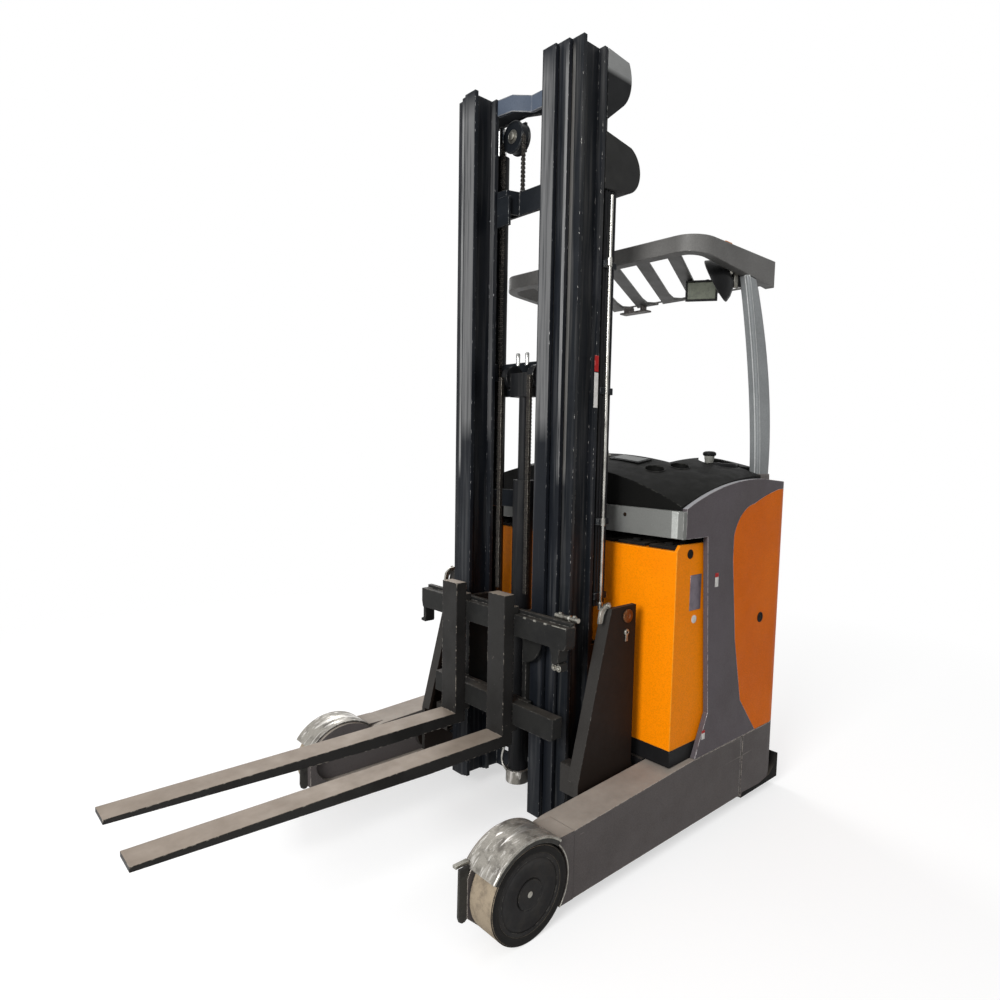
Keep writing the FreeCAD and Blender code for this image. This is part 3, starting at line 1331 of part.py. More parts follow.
outer_ties = tie("outer_tie", "outer_stage_x - tie_inset", "outer_lug_width", "mast_rear_y",
                 "outer_tie_y + tie_thickness",
                 [share(portion) for portion in ("foot_tie_share", "low_tie_share",
                                                 "high_tie_share", "head_tie_share")])
seat_low = "lift_cylinder_bottom - cylinder_seat_thickness"
seat_pad = block("seat_pad", ("lift_cylinder_x - lift_cylinder_radius",
                              "outer_stage_x - tie_inset"),
                 ("mast_rear_y + moving_gap", "outer_tie_y + tie_thickness"),
                 (seat_low, "lift_cylinder_bottom"))
seat_lug = block("seat_lug", ("outer_inner_x + moving_gap", "outer_stage_x - tie_inset"),
                 ("mast_rear_y", "mast_rear_y + moving_gap + bite"),
                 (seat_low, "lift_cylinder_bottom"))
cylinder_seat = fuse("cylinder_seat", [seat_pad, seat_lug])
outer_foot = block("outer_foot", ("-outer_stage_x", "outer_stage_x"),
                   ("outer_front_y", "mast_rear_y"),
                   ("outer_bottom - foot_thickness", "outer_bottom"))
node("mast_outer_ties", group("mast_outer_ties", [
    fuse(f"outer_tie_{number}", outer_ties[number * 3:number * 3 + 3]) for number in range(4)]
    + [cylinder_seat, mirrored("cylinder_seat_twin", cylinder_seat), outer_foot]))
middle_tie_x = "lift_cylinder_x - lift_cylinder_radius - moving_gap"
middle_tie_heights = [share(portion) for portion in ("middle_low_tie_share",
                                                     "middle_high_tie_share")]
middle_ties = tie("middle_tie", middle_tie_x, "middle_lug_width", "middle_rear_y",
                  "middle_tie_y + tie_thickness", middle_tie_heights)
middle_pads = []
for number, height in enumerate(middle_tie_heights):
    pad = block(f"middle_pad_{number}", ("middle_inner_x", "middle_inner_x + middle_pad_width"),
                ("middle_rear_y", "lift_cylinder_y - lift_cylinder_radius - moving_gap"),
                ("(" + height + ")", "(" + height + ") + tie_height"))
    middle_pads.append([pad, mirrored(f"middle_pad_twin_{number}", pad)])
head_rear_y = "lift_cylinder_y + lift_cylinder_radius"
middle_head_bar = block("middle_head_bar", ("-middle_outer_x", "middle_outer_x"),
                        ("middle_tie_y", head_rear_y), ("head_bar_low", "middle_top"))
middle_head_lug = block("middle_head_lug", ("middle_inner_x", "middle_inner_x + head_lug_width"),
                        ("middle_rear_y", "middle_tie_y + bite"),
                        ("head_bar_low", "middle_top"))
pulley_front_y = "middle_tie_y + tie_thickness - bite"
head_plate = block("head_plate", ("head_pulley_x - head_plate_half_width",
                                  "head_pulley_x + head_plate_half_width"),
                   (f"{pulley_front_y} + head_pulley_width",
                    f"{pulley_front_y} + head_pulley_width + head_plate_thickness"),
                   ("head_pulley_z - head_plate_half_width", "head_bar_low + bite"))
head_pulley = rod("head_pulley", "y", ("head_pulley_x", "head_pulley_z"),
                  "head_pulley_radius", pulley_front_y,
                  f"{pulley_front_y} + head_pulley_width + bite")
head_chains = []
for name, side, drop in (("head_chain_anchor", "-", "head_chain_short"),
                         ("head_chain_run", "+", "head_pulley_z * head_chain_share")):
    edge = f"head_pulley_x {side} head_pulley_radius"
    head_chains.append(block(name, (f"{edge} - chain_thickness / 2", f"{edge} + chain_thickness / 2"),
                             (f"{pulley_front_y} + (head_pulley_width - chain_width) / 2",
                              f"{pulley_front_y} + (head_pulley_width + chain_width) / 2"),
                             (f"head_pulley_z - {drop}", "head_pulley_z")))
head_drive = fuse("head_drive", [head_plate, head_pulley, *head_chains])
middle_head = fuse("middle_head", [middle_head_bar, middle_head_lug,
                                   mirrored("middle_head_lug_twin", middle_head_lug),
                                   head_drive, mirrored("head_drive_twin", head_drive)])
node("mast_middle_ties", group("mast_middle_ties", [
    fuse(f"middle_tie_{number}", middle_ties[number * 3:number * 3 + 3] + middle_pads[number])
    for number in range(2)] + [middle_head]))
inner_tie_rear_y = "inner_tie_y + tie_thickness"
inner_ties = tie("inner_tie", "inner_inner_x + inner_lug_width", "inner_lug_width",
                 "inner_rear_y", inner_tie_rear_y,
                 ["inner_bottom", share("inner_low_tie_share")])


def bent_tie(name, bend, low, high):
    """A tie whose ends run forward at a slant to the inner uprights, seen from above."""
    return prism(name, "xy", [
        ("-inner_inner_x", "inner_rear_y"),
        (f"-inner_inner_x + {bend}", "inner_tie_y"),
        (f"inner_inner_x - {bend}", "inner_tie_y"),
        ("inner_inner_x", "inner_rear_y"),
        ("inner_inner_x + inner_lug_width", "inner_rear_y"),
        (f"inner_inner_x - {bend} + tie_thickness / 2", inner_tie_rear_y),
        (f"-inner_inner_x + {bend} - tie_thickness / 2", inner_tie_rear_y),
        ("-inner_inner_x - inner_lug_width", "inner_rear_y"),
    ], low, high)


yoke_low = share("inner_yoke_share")
yoke_arm = prism("yoke_arm", "xy", [
    ("inner_inner_x", "inner_rear_y"),
    ("inner_inner_x + inner_lug_width", "inner_rear_y"),
    ("inner_inner_x - inner_yoke_bend + tie_thickness / 2", inner_tie_rear_y),
    ("inner_inner_x - inner_yoke_bend", "inner_tie_y"),
], yoke_low + " - inner_yoke_arm_drop", yoke_low + " + inner_yoke_height + inner_yoke_arm_rise")
inner_yoke = fuse("inner_yoke", [
    bent_tie("yoke_bar", "inner_yoke_bend", yoke_low, yoke_low + " + inner_yoke_height"),
    yoke_arm, mirrored("yoke_arm_twin", yoke_arm)])
inner_sole = block("inner_sole", ("-inner_inner_x", "inner_inner_x"),
                   ("mast_front_y + flange_thickness", "inner_tie_y + bite"),
                   ("inner_bottom", "inner_bottom + sole_thickness"))
inner_head = bent_tie("inner_head", "inner_head_bend", "inner_top - inner_head_height",
                      "inner_top")
node("mast_inner_ties", group("mast_inner_ties", [
    fuse("inner_low", [*inner_ties[:3], inner_sole]), fuse("inner_tie_1", inner_ties[3:6]),
    inner_yoke, inner_head]))

lift_tubes = []
lift_rods = []
for side, sign in (("left", ""), ("right", "-")):
    centre = (f"{sign}lift_cylinder_x", "lift_cylinder_y")
    tube = rod(f"lift_tube_{side}", "z", centre, "lift_cylinder_radius",
               "lift_cylinder_bottom", "lift_cylinder_top")
    bore = rod(f"lift_bore_{side}", "z", centre, "lift_rod_radius + running_gap",
               "lift_cylinder_bottom + cylinder_floor", "lift_cylinder_top + bite")
    lift_tubes.append(cut(f"lift_cylinder_{side}", tube, [bore]))
    lift_rods.append(rod(f"lift_rod_{side}", "z", centre, "lift_rod_radius",
                         "lift_cylinder_bottom + lift_rod_end", "head_bar_low"))
node("lift_cylinders", group("lift_cylinders", lift_tubes))
node("lift_rods", group("lift_rods", lift_rods))
pipe_run = rod("pipe_run", "z", ("outer_stage_x + pipe_radius + pipe_stand_off",
                                 "mast_rear_y + pipe_back"), "pipe_radius",
               share("pipe_bottom_share"), share("pipe_top_share"))
pipe_clips = [block(f"pipe_clip_{number}",
                    ("outer_stage_x + rest_gap", "outer_stage_x + pipe_stand_off + pipe_radius"),
                    ("mast_rear_y - pipe_clip_depth / 2", "mast_rear_y + pipe_back"),
                    (share(portion), share(portion) + " + pipe_clip_height"))
              for number, portion in enumerate(("pipe_foot_clip_share", "pipe_low_clip_share",
                                                "pipe_high_clip_share", "pipe_head_clip_share"))]
node("mast_pipe", fuse("mast_pipe", [pipe_run, *pipe_clips]))


def hose_cover(name, top, rear):
    """A moulded cover over a hose pulley; its cheek runs forward outside the lift cylinder."""
    front = "mast_rear_y + moving_gap"
    inner = "lift_cylinder_x - cover_inner"
    shell = prism(f"{name}_shell", "yz", [
        (front, f"outer_top - {name}_low_drop"),
        (f"{front} + {name}_heel", f"outer_top - {name}_heel_drop"),
        (f"{front} + {name}_brow", f"outer_top - {name}_brow_drop",
         f"{front} + {name}_bulge", f"outer_top - {name}_bulge_drop"),
        (front, top),
    ], inner, "outer_stage_x")
    room = block(f"{name}_room", (f"{inner} - bite", "outer_stage_x - tie_inset + rest_gap"),
                 (f"{front} - bite", rear),
                 (f"outer_top - {name}_low_drop - bite", f"{top} + bite"))
    node(name, cut(name, shell, [room]))


hose_cover("pulley_cover", "outer_top - pulley_cover_high_drop", "outer_tie_y + tie_thickness")
hose_cover("head_cover", "outer_top", head_rear_y)

# ---------------------------------------------------------------- free lift
free_tube = rod("free_tube", "z", ("0", "free_lift_y"), "free_cylinder_radius",
                "inner_bottom + sole_thickness", "free_cylinder_top")
free_bore = rod("free_bore", "z", ("0", "free_lift_y"), "free_rod_radius + running_gap",
                "inner_bottom + 2 * sole_thickness", "free_cylinder_top + bite")
node("free_lift_cylinder", cut("free_lift_cylinder", free_tube, [free_bore]))
free_rod = rod("free_rod", "z", ("0", "free_lift_y"), "free_rod_radius",
               "free_head_bottom - free_cylinder_top", "free_head_bottom + bite")
free_head = block("free_head", ("-free_head_x", "free_head_x"),
                  ("free_lift_y - free_head_depth / 2", "free_lift_y + free_head_depth / 2"),
                  ("free_head_bottom", "free_head_bottom + free_head_height"))
free_pulleys = [rod(f"free_pulley_{number}", "x",
                    ("free_lift_y", "free_pulley_z"), "free_pulley_radius", low, high)
                for number, (low, high) in enumerate((
                    ("-chain_x - chain_width / 2", "-free_head_x + bite"),
                    ("free_head_x - bite", "chain_x + chain_width / 2")))]
node("free_lift_head", fuse("free_lift_head", [free_rod, free_head, *free_pulleys]))
free_chains = []
for number, sign in enumerate(("", "-")):
    span = (f"{sign}chain_x - chain_width / 2", f"{sign}chain_x + chain_width / 2")
    front = ("free_lift_y - free_pulley_radius - rest_gap - chain_thickness",
             "free_lift_y - free_pulley_radius - rest_gap")
    free_chains.append(block(f"free_chain_{number}", span, front,
                             ("chain_bottom", "free_pulley_z")))
node("free_lift_chains", group("free_lift_chains", free_chains))

# ---------------------------------------------------------------- carriage and forks
carriage_plate = block("carriage_plate",
                       ("carriage_plate_x - carriage_plate_thickness", "carriage_plate_x"),
                       ("carriage_bar_rear_y", "inner_middle_y + carriage_plate_depth"),
                       ("lower_bar_low", "upper_bar_high"))
carriage_rollers = []
for number, height in enumerate(("lower_bar_low + carriage_roller_in",
                                   "upper_bar_high - carriage_roller_in")):
    carriage_rollers.append(guide_roller(f"carriage_roller_{number}", "inner_inner_x + roller_side_gap",
                                         "inner_web_x - web_thickness - roller_side_gap",
                                         "inner_middle_y", height, "carriage_roller_radius"))
    carriage_rollers.append(stub(f"carriage_stub_{number}", "carriage_plate_x - bite",
                                 "inner_inner_x + roller_side_gap + bite", "inner_middle_y",
                                 height))
carriage_side = fuse("carriage_side", [carriage_plate, *carriage_rollers])
carriage_bars = [
    block(f"carriage_bar_{number}", ("-carriage_bar_x", "carriage_bar_x"),
          ("carriage_bar_y", "carriage_bar_rear_y"), (low, high))
    for number, (low, high) in enumerate((("lower_bar_low", "lower_bar_high"),
                                          ("upper_bar_low", "upper_bar_high")))]
node("carriage_frame", fuse("carriage_frame", [
    carriage_side, mirrored("carriage_side_twin", carriage_side), *carriage_bars]))
upper_bar = block("upper_bar", ("-upper_bar_x", "upper_bar_x"),
                  ("fork_bar_front_y", "fork_bar_rear_y"), ("upper_bar_low", "upper_bar_high"))
lower_bar = block("lower_bar", ("-lower_bar_x", "lower_bar_x"),
                  ("fork_bar_front_y", "fork_bar_rear_y"), ("lower_bar_low", "lower_bar_high"))
end_hooks = [block(f"end_hook_{side}", span, ("fork_bar_front_y", "fork_bar_rear_y"),
                   ("upper_bar_low - end_hook_drop", "upper_bar_low + bite"))
             for side, span in (("left", ("upper_bar_x - end_hook_width", "upper_bar_x")),
                                ("right", ("-upper_bar_x", "-upper_bar_x + end_hook_width")))]
bar_ties = [block(f"bar_tie_{side}", span, ("fork_bar_rear_y - fork_bar_thickness / 2",
                                            "fork_bar_rear_y"),
                  ("lower_bar_high - bite", "upper_bar_low + bite"))
            for side, span in (("left", ("bar_tie_x", "bar_tie_x + bar_tie_width")),
                               ("right", ("-bar_tie_x - bar_tie_width", "-bar_tie_x")))]
slide_pads = [block(f"slide_pad_{number}", ("-slide_pad_x", "slide_pad_x"),
                    ("fork_bar_rear_y - bite", "carriage_bar_y - rest_gap"),
                    (f"{low} + slide_pad_in", f"{high} - slide_pad_in"))
              for number, (low, high) in enumerate((("lower_bar_low", "lower_bar_high"),
                                                    ("upper_bar_low", "upper_bar_high")))]
node("fork_frame", fuse("fork_frame", [upper_bar, lower_bar, *end_hooks, *bar_ties,
                                       *slide_pads]))
fork_side = prism("fork_side", "yz", [
    ("fork_face_y - fork_length", "fork_blade_top"),
    ("fork_face_y", "fork_blade_top"),
    ("fork_face_y", "fork_shank_top"),
    ("fork_back_y", "fork_shank_top"),
    ("fork_back_y", "fork_blade_under"),
    ("fork_face_y - fork_heel_length", "fork_blade_under"),
    ("fork_face_y - fork_length", "fork_blade_top - fork_tip_thickness"),
], "fork_inner_x", "fork_inner_x + fork_width")
top_hook = block("top_hook", ("fork_inner_x", "fork_inner_x + fork_width"),
                 ("fork_back_y - bite", "fork_back_y + fork_hook_depth"),
                 ("upper_bar_high + rest_gap", "upper_bar_high + rest_gap + fork_hook_height"))
low_hook = block("low_hook", ("fork_inner_x", "fork_inner_x + fork_width"),
                 ("fork_back_y - bite", "fork_back_y + fork_hook_depth"),
                 ("lower_bar_low - rest_gap - fork_hook_height", "lower_bar_low - rest_gap"))
pair("fork", fuse("fork", [fork_side, top_hook, low_hook]))

# ---------------------------------------------------------------- build, test and write
doc.removeObject(probe.Name)
doc.recompute()
for thing in doc.Objects:
    if "Invalid" in thing.State or "Error" in thing.State:
        raise RuntimeError(f"{thing.Label} failed: {thing.State}")
for thing in NODES:
    if thing.Shape.isNull() or not thing.Shape.isValid() or not thing.Shape.Solids:
        raise RuntimeError(f"{thing.Label} has no valid solid")
os.makedirs("parts", exist_ok=True)
for thing in NODES:
    thing.Shape.exportStep(f"parts/{thing.Label}.step")
print(len(NODES), "sub-parts written")
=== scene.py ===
import math

import bmesh
import bpy
from mathutils import Matrix, Vector
from mathutils.bvhtree import BVHTree


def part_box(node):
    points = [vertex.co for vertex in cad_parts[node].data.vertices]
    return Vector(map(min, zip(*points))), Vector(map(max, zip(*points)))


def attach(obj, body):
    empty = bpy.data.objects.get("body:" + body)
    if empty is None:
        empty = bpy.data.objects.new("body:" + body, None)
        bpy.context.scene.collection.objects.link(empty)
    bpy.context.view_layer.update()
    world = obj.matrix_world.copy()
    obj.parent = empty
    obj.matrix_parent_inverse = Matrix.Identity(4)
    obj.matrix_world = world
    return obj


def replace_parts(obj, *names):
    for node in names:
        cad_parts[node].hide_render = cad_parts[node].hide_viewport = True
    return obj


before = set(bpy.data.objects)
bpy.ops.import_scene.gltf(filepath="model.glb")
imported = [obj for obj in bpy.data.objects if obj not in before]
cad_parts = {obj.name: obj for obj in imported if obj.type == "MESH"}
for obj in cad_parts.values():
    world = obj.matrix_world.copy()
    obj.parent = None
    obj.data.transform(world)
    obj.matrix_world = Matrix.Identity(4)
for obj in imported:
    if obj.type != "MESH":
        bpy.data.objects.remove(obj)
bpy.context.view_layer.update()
mm = 0.001

# ---- The load arms and the chassis frame ----
# Two boxed steel arms run forward under the mast and carry the load wheels.
# They are welded to the chassis frame and painted warm dark grey, worn along their edges.


def linear(red, green, blue):
    """A colour given as it looks on a screen, from 0 to 255, as the shader's colour."""
    def channel(v):
        v /= 255
        return v / 12.92 if v <= 0.04045 else ((v + 0.055) / 1.055) ** 2.4
    return channel(red), channel(green), channel(blue), 1.0


def add_node(tree, kind, **settings):
    """Adds a node to a shader and sets its inputs and its own settings."""
    made = tree.nodes.new("ShaderNode" + kind)
    for key, value in settings.items():
        if key in made.inputs:
            made.inputs[key].default_value = value
        else:
            setattr(made, key, value)
    return made


def surface(name, colour, patch_colour, wear_and_highlight_colour, roughness, *, metal=0.0, worn_metal=0.9,
            worn_roughness=0.34, patch_size=0.3, patch_cover=0.5, grain_size=0.004,
            grain_depth=0.05, edge_width=0.004, edge_wear_and_highlight=0.6, scratch=0.0,
            scratch_stretch=(1.0, 12.0, 1.0), scratch_size=0.03, dust=0.0,
            dust_colour=(150, 140, 128), sheen=0.0, specular=0.12, streak=0.0, tracks=(),
            side_colour=None, top_colour=None, low_colour=None):
    """A finish with cloudy colour, grain, scratches, dust on top, worn edges and worn tracks.

    Colours are as linear() takes them, roughness is from the smoothest to the roughest patch.
    On some finishes the bright edge colour and the lighter top colour are painted highlights.
    """
    finish = bpy.data.materials.new(name)
    finish.use_nodes = True
    tree = finish.node_tree
    tree.nodes.clear()

    def node(kind, **settings):
        return add_node(tree, kind, **settings)

    def join(source, target):
        tree.links.new(source, target)

    def math_of(operation, first, second):
        made = node("Math", operation=operation)
        for socket, given in zip(made.inputs, (first, second)):
            if isinstance(given, (int, float)):
                socket.default_value = given
            else:
                join(given, socket)
        return made.outputs[0]

    def cloud(size, detail, stretch=(1, 1, 1), shift=0.0, distortion=0.0):
        mapped = node("Mapping", Scale=stretch, Location=(shift, shift, shift))
        join(place.outputs["Object"], mapped.inputs["Vector"])
        made = node("TexNoise", Scale=1 / size, Detail=detail, Roughness=0.6,
                    Distortion=distortion)
        join(mapped.outputs[0], made.inputs["Vector"])
        return made.outputs["Fac"]

    def spread(source, low, high, start=0.3, end=0.7):
        made = node("MapRange", **{"From Min": start, "From Max": end, "To Min": low,
                                   "To Max": high})
        join(source, made.inputs["Value"])
        return made.outputs[0]

    def step_up(source, start, end):
        return spread(source, 0.0, 1.0, start, end)

    def mix(first, second, share):
        made = node("Mix", data_type="RGBA")
        for socket, given in ((made.inputs[6], first), (made.inputs[7], second)):
            if isinstance(given, tuple):
                socket.default_value = given
            else:
                join(given, socket)
        join(share, made.inputs[0])
        return made.outputs[2]

    place = node("TexCoord")
    shape = node("NewGeometry")
    base = mix(linear(*colour), linear(*patch_colour),
               step_up(cloud(patch_size, 4.0), 0.62 - 0.3 * patch_cover, 0.78 - 0.3 * patch_cover))
    grain = cloud(grain_size, 3.0, shift=3.0)
    speckled = node("HueSaturation", Saturation=1.0)
    join(base, speckled.inputs["Color"])
    join(spread(grain, 0.86, 1.14), speckled.inputs["Value"])
    base = speckled.outputs[0]
    facing = node("SeparateXYZ")
    join(shape.outputs["Normal"], facing.inputs[0])
    spot = node("SeparateXYZ")
    join(place.outputs["Object"], spot.inputs[0])
    across = math_of("ABSOLUTE", spot.outputs["X"], 0.0)
    if side_colour:
        sideways = step_up(math_of("ABSOLUTE", facing.outputs["X"], 0.0), 0.75, 0.9)
        base = mix(base, linear(*side_colour), sideways)
    # Upward faces take the top colour: worn metal on some finishes, a painted highlight on others.
    if top_colour:
        base = mix(base, linear(*top_colour), step_up(facing.outputs["Z"], 0.7, 0.9))
    if low_colour:
        base = mix(base, linear(*low_colour[1:]),
                   step_up(spot.outputs["Z"], low_colour[0], low_colour[0] - 0.02))
    if streak:
        running = step_up(cloud(0.02, 3.0, stretch=(1, 1, 0.04), shift=7.0), 0.5, 0.72)
        base = mix(base, linear(*wear_and_highlight_colour), math_of("MULTIPLY", running, streak))
    # The edges take the worn colour, which on some finishes is a painted highlight.
    rounded = node("Bevel", samples=4, Radius=edge_width)
    turned_away = node("VectorMath", operation="DOT_PRODUCT")
    join(rounded.outputs[0], turned_away.inputs[0])
    join(shape.outputs["Normal"], turned_away.inputs[1])
    edges = step_up(turned_away.outputs["Value"], 0.985, 0.86)
    ragged = step_up(cloud(0.018, 5.0, shift=1.0), 0.66 - 0.32 * edge_wear_and_highlight, 0.74 - 0.3 * edge_wear_and_highlight)
    wear_and_edge_highlight = math_of("MULTIPLY", edges, ragged)
    if scratch:
        lines = cloud(scratch_size, 6.0, stretch=scratch_stretch, shift=5.0, distortion=0.4)
        fine = cloud(scratch_size * 4, 8.0, stretch=scratch_stretch, shift=9.0, distortion=0.8)
        scored = math_of("MAXIMUM", step_up(lines, 0.72 - 0.22 * scratch, 0.8 - 0.2 * scratch),
                         step_up(fine, 0.74 - 0.24 * scratch, 0.79 - 0.2 * scratch))
        wear_and_edge_highlight = math_of("MAXIMUM", wear_and_edge_highlight, math_of("MULTIPLY", scored, min(1.0, 0.35 + scratch)))
    for inner, outer, low, high, share in tracks:
        rubbed = step_up(facing.outputs["Y"], -0.7, -0.9)
        for value, start, end in ((across, inner - 1, inner + 1), (across, outer + 1, outer - 1),
                                  (spot.outputs["Z"], low, low + 90),
                                  (spot.outputs["Z"], high, high - 90)):
            rubbed = math_of("MULTIPLY", rubbed, step_up(value, start * mm, end * mm))
        ribboned = step_up(cloud(0.012, 5.0, stretch=(1, 1, 0.03), shift=inner), 0.25, 0.55)
        wear_and_edge_highlight = math_of("MAXIMUM", wear_and_edge_highlight, math_of("MULTIPLY", math_of("MULTIPLY", rubbed, share),
                                                ribboned))
    coloured = mix(base, linear(*wear_and_highlight_colour), wear_and_edge_highlight)
    if dust:
        lying = math_of("MULTIPLY", step_up(facing.outputs["Z"], 0.4, 0.95),
                        step_up(cloud(0.09, 7.0, shift=2.0), 0.3, 0.7))
        coloured = mix(coloured, linear(*dust_colour), math_of("MULTIPLY", lying, dust))

    shader = node("BsdfPrincipled", Roughness=roughness[0],
                  **{"Sheen Weight": sheen, "Specular IOR Level": specular})
    join(coloured, shader.inputs["Base Color"])
    gloss = spread(cloud(0.05, 6.0, shift=4.0), *roughness)
    gloss = math_of("ADD", math_of("MULTIPLY", gloss, math_of("SUBTRACT", 1.0, wear_and_edge_highlight)),
                    math_of("MULTIPLY", wear_and_edge_highlight, worn_roughness))
    join(gloss, shader.inputs["Roughness"])
    if metal == worn_metal:
        shader.inputs["Metallic"].default_value = metal
    else:
        join(math_of("ADD", math_of("MULTIPLY", wear_and_edge_highlight, worn_metal - metal), metal),
             shader.inputs["Metallic"])
    pits = math_of("SUBTRACT", grain, math_of("MULTIPLY", wear_and_edge_highlight, 0.6))
    bump = node("Bump", Strength=grain_depth, Distance=0.001)
    join(pits, bump.inputs["Height"])
    join(rounded.outputs[0], bump.inputs["Normal"])
    join(bump.outputs[0], shader.inputs["Normal"])
    output = node("OutputMaterial")
    join(shader.outputs[0], output.inputs["Surface"])
    return finish


def dress(material, *names):
    """Gives solids of the frame their finish."""
    for name in names:
        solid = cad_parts[name]
        solid.data.materials.clear()
        solid.data.materials.append(material)


arm_paint, nose_paint = (
    surface(name, (90, 85, 84), (82, 77, 76), (178, 170, 160), (0.5, 0.65), patch_size=0.5,
            edge_wear_and_highlight=edge_wear_and_highlight, scratch=0.12, scratch_stretch=(1, 0.12, 1), dust=0.8,
            dust_colour=(166, 157, 147), top_colour=(142, 133, 124))
    for name, edge_wear_and_highlight in (("arm_paint", 0.8), ("nose_paint", 0.0)))
dress(arm_paint, "wheel_arm_left", "wheel_arm_right")
frame_black = surface(
    "frame_black", (24, 23, 24), (32, 30, 30), (110, 104, 98), (0.5, 0.7), edge_wear_and_highlight=0.3, dust=0.2)
dress(frame_black, "chassis_frame", "bulkhead", "load_axles")

# ---- The rear corners ----
# A bar stands in the groove of each rear corner, over a moulded rubber block; its lighter colour
# and bright edges are a painted highlight on the groove's edge.
# Two zinc-plated bolts are screwed into the inner face of each arm.
axle_y = sum(corner[1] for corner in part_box("load_axles")) / 2


def at(x, back, up):
    """A point from the middle of the truck, the load axle and the floor, in millimetres."""
    return Vector((x * mm, axle_y + back * mm, up * mm))


def turn(mesh, profile, centre, along, steps=40):
    """Adds a turned part: pairs of radius and height in millimetres, spun about an axis."""
    place = Matrix.Translation(centre) @ Vector(along).to_track_quat("Z", "Y").to_matrix().to_4x4()
    rings = []
    for radius, height in profile:
        count = steps if radius else 1
        angles = [2 * math.pi * k / steps for k in range(count)]
        rings.append([mesh.verts.new(place @ Vector((radius * mm * math.cos(a),
                                                     radius * mm * math.sin(a), height * mm)))
                      for a in angles])
    for low, high in zip(rings, rings[1:]):
        for k in range(steps):
            corners = [low[k % len(low)], low[(k + 1) % len(low)],
                       high[(k + 1) % len(high)], high[k % len(high)]]
            corners = list(dict.fromkeys(corners))
            if len(corners) > 2:
                mesh.faces.new(corners)


def bolt(mesh, centre, along, size=13):
    """Adds a washer and a six-sided head with a rounded top."""
    turn(mesh, [(0, 0), (size * 0.95, 0), (size * 0.95, size * 0.14), (size * 0.6, size * 0.16)],
         centre, along, 20)
    turn(mesh, [(size * 0.6, size * 0.1), (size * 0.6, size * 0.5), (size * 0.5, size * 0.62),
                (size * 0.2, size * 0.64), (0, size * 0.62)], centre, along, 6)


def rect(low, high, bottom, top):
    """The corners of a rectangle."""
    return [(low, bottom), (high, bottom), (high, top), (low, top)]


def sheet_of(mesh, outline, offset):
    """Adds a flat part: its outline as points, and its thickness as one step."""
    low = [mesh.verts.new(p) for p in outline]
    high = [mesh.verts.new(Vector(p) + Vector(offset)) for p in outline]
    mesh.faces.new(low[::-1])
    mesh.faces.new(high)
    for k in range(len(low)):
        mesh.faces.new((low[k], low[k - 1], high[k - 1], high[k]))


def side_sheet(mesh, side, x, outline, thick):
    """Adds a flat part facing one side: its outline as (back, up), and its thickness."""
    sheet_of(mesh, [at(side * x, back, up) for back, up in outline], (side * thick * mm, 0, 0))


def stand(name, data, material, body):
    """Stands a mesh or a curve in the scene with its finish, on its body."""
    made = bpy.data.objects.new(name, data)
    bpy.context.scene.collection.objects.link(made)
    data.materials.append(material)
    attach(made, body)
    return made


def piece(name, mesh, material, body, highlight=1.5, smooth=40):
    """Makes a piece of the gathered mesh and rounds its edges."""
    bmesh.ops.recalc_face_normals(mesh, faces=mesh.faces)
    data = bpy.data.meshes.new(name)
    mesh.to_mesh(data)
    mesh.free()
    data.polygons.foreach_set("use_smooth", [True] * len(data.polygons))
    data.set_sharp_from_angle(angle=math.radians(smooth))
    made = stand(name, data, material, body)
    if highlight:
        rounding = made.modifiers.new("rounded_edges", "BEVEL")
        rounding.width = highlight * mm
        rounding.segments = 2
        rounding.limit_method = "ANGLE"
        rounding.angle_limit = math.radians(42)
    return made


def meshes(count):
    """Fresh meshes to gather pieces in."""
    return (bmesh.new() for _ in range(count))


zinc = surface(
    "zinc_fixings", (150, 148, 140), (120, 116, 108), (205, 203, 196), (0.3, 0.5), metal=0.9,
    patch_size=0.02, edge_width=0.0015)
rubber = surface(
    "black_rubber", (24, 24, 24), (32, 31, 30), (62, 60, 58), (0.75, 0.9), patch_size=0.05,
    grain_depth=0.2, edge_wear_and_highlight=0.3, dust=0.2, worn_metal=0.0, worn_roughness=0.85)
# Lighter than the arms; on the corner bars this colour is a painted highlight of the groove's
# edge.
light_steel_and_highlight = surface(
    "corner_bar_steel_and_highlight", (106, 101, 98), (88, 84, 82), (176, 170, 162), (0.4, 0.55), metal=0.2,
    edge_wear_and_highlight=0.7, scratch=0.2, scratch_stretch=(1, 1, 0.1))
bars, arm_bolts, scuffs = meshes(3)
for side in (1, -1):
    side_sheet(bars, side, 618, rect(1130.5, 1143.5, 62, 292), 5.5)
    for back, up in ((300, 208), (520, 208)):
        bolt(arm_bolts, at(side * 489.6, back, up), (-side, 0, 0), 11)
    side_sheet(scuffs, side, 500, [(1148, 34.8), (1156, 56), (1290, 50), (1370, 62), (1418, 92),
                                   (1439.8, 140), (1439.8, 34.8)], 125.9)
piece("corner_highlight_bars", bars, light_steel_and_highlight, "chassis", highlight=2.5)
piece("scuff_blocks", scuffs, rubber, "chassis", highlight=1)
piece("arm_bolts", arm_bolts, zinc, "chassis", highlight=0)

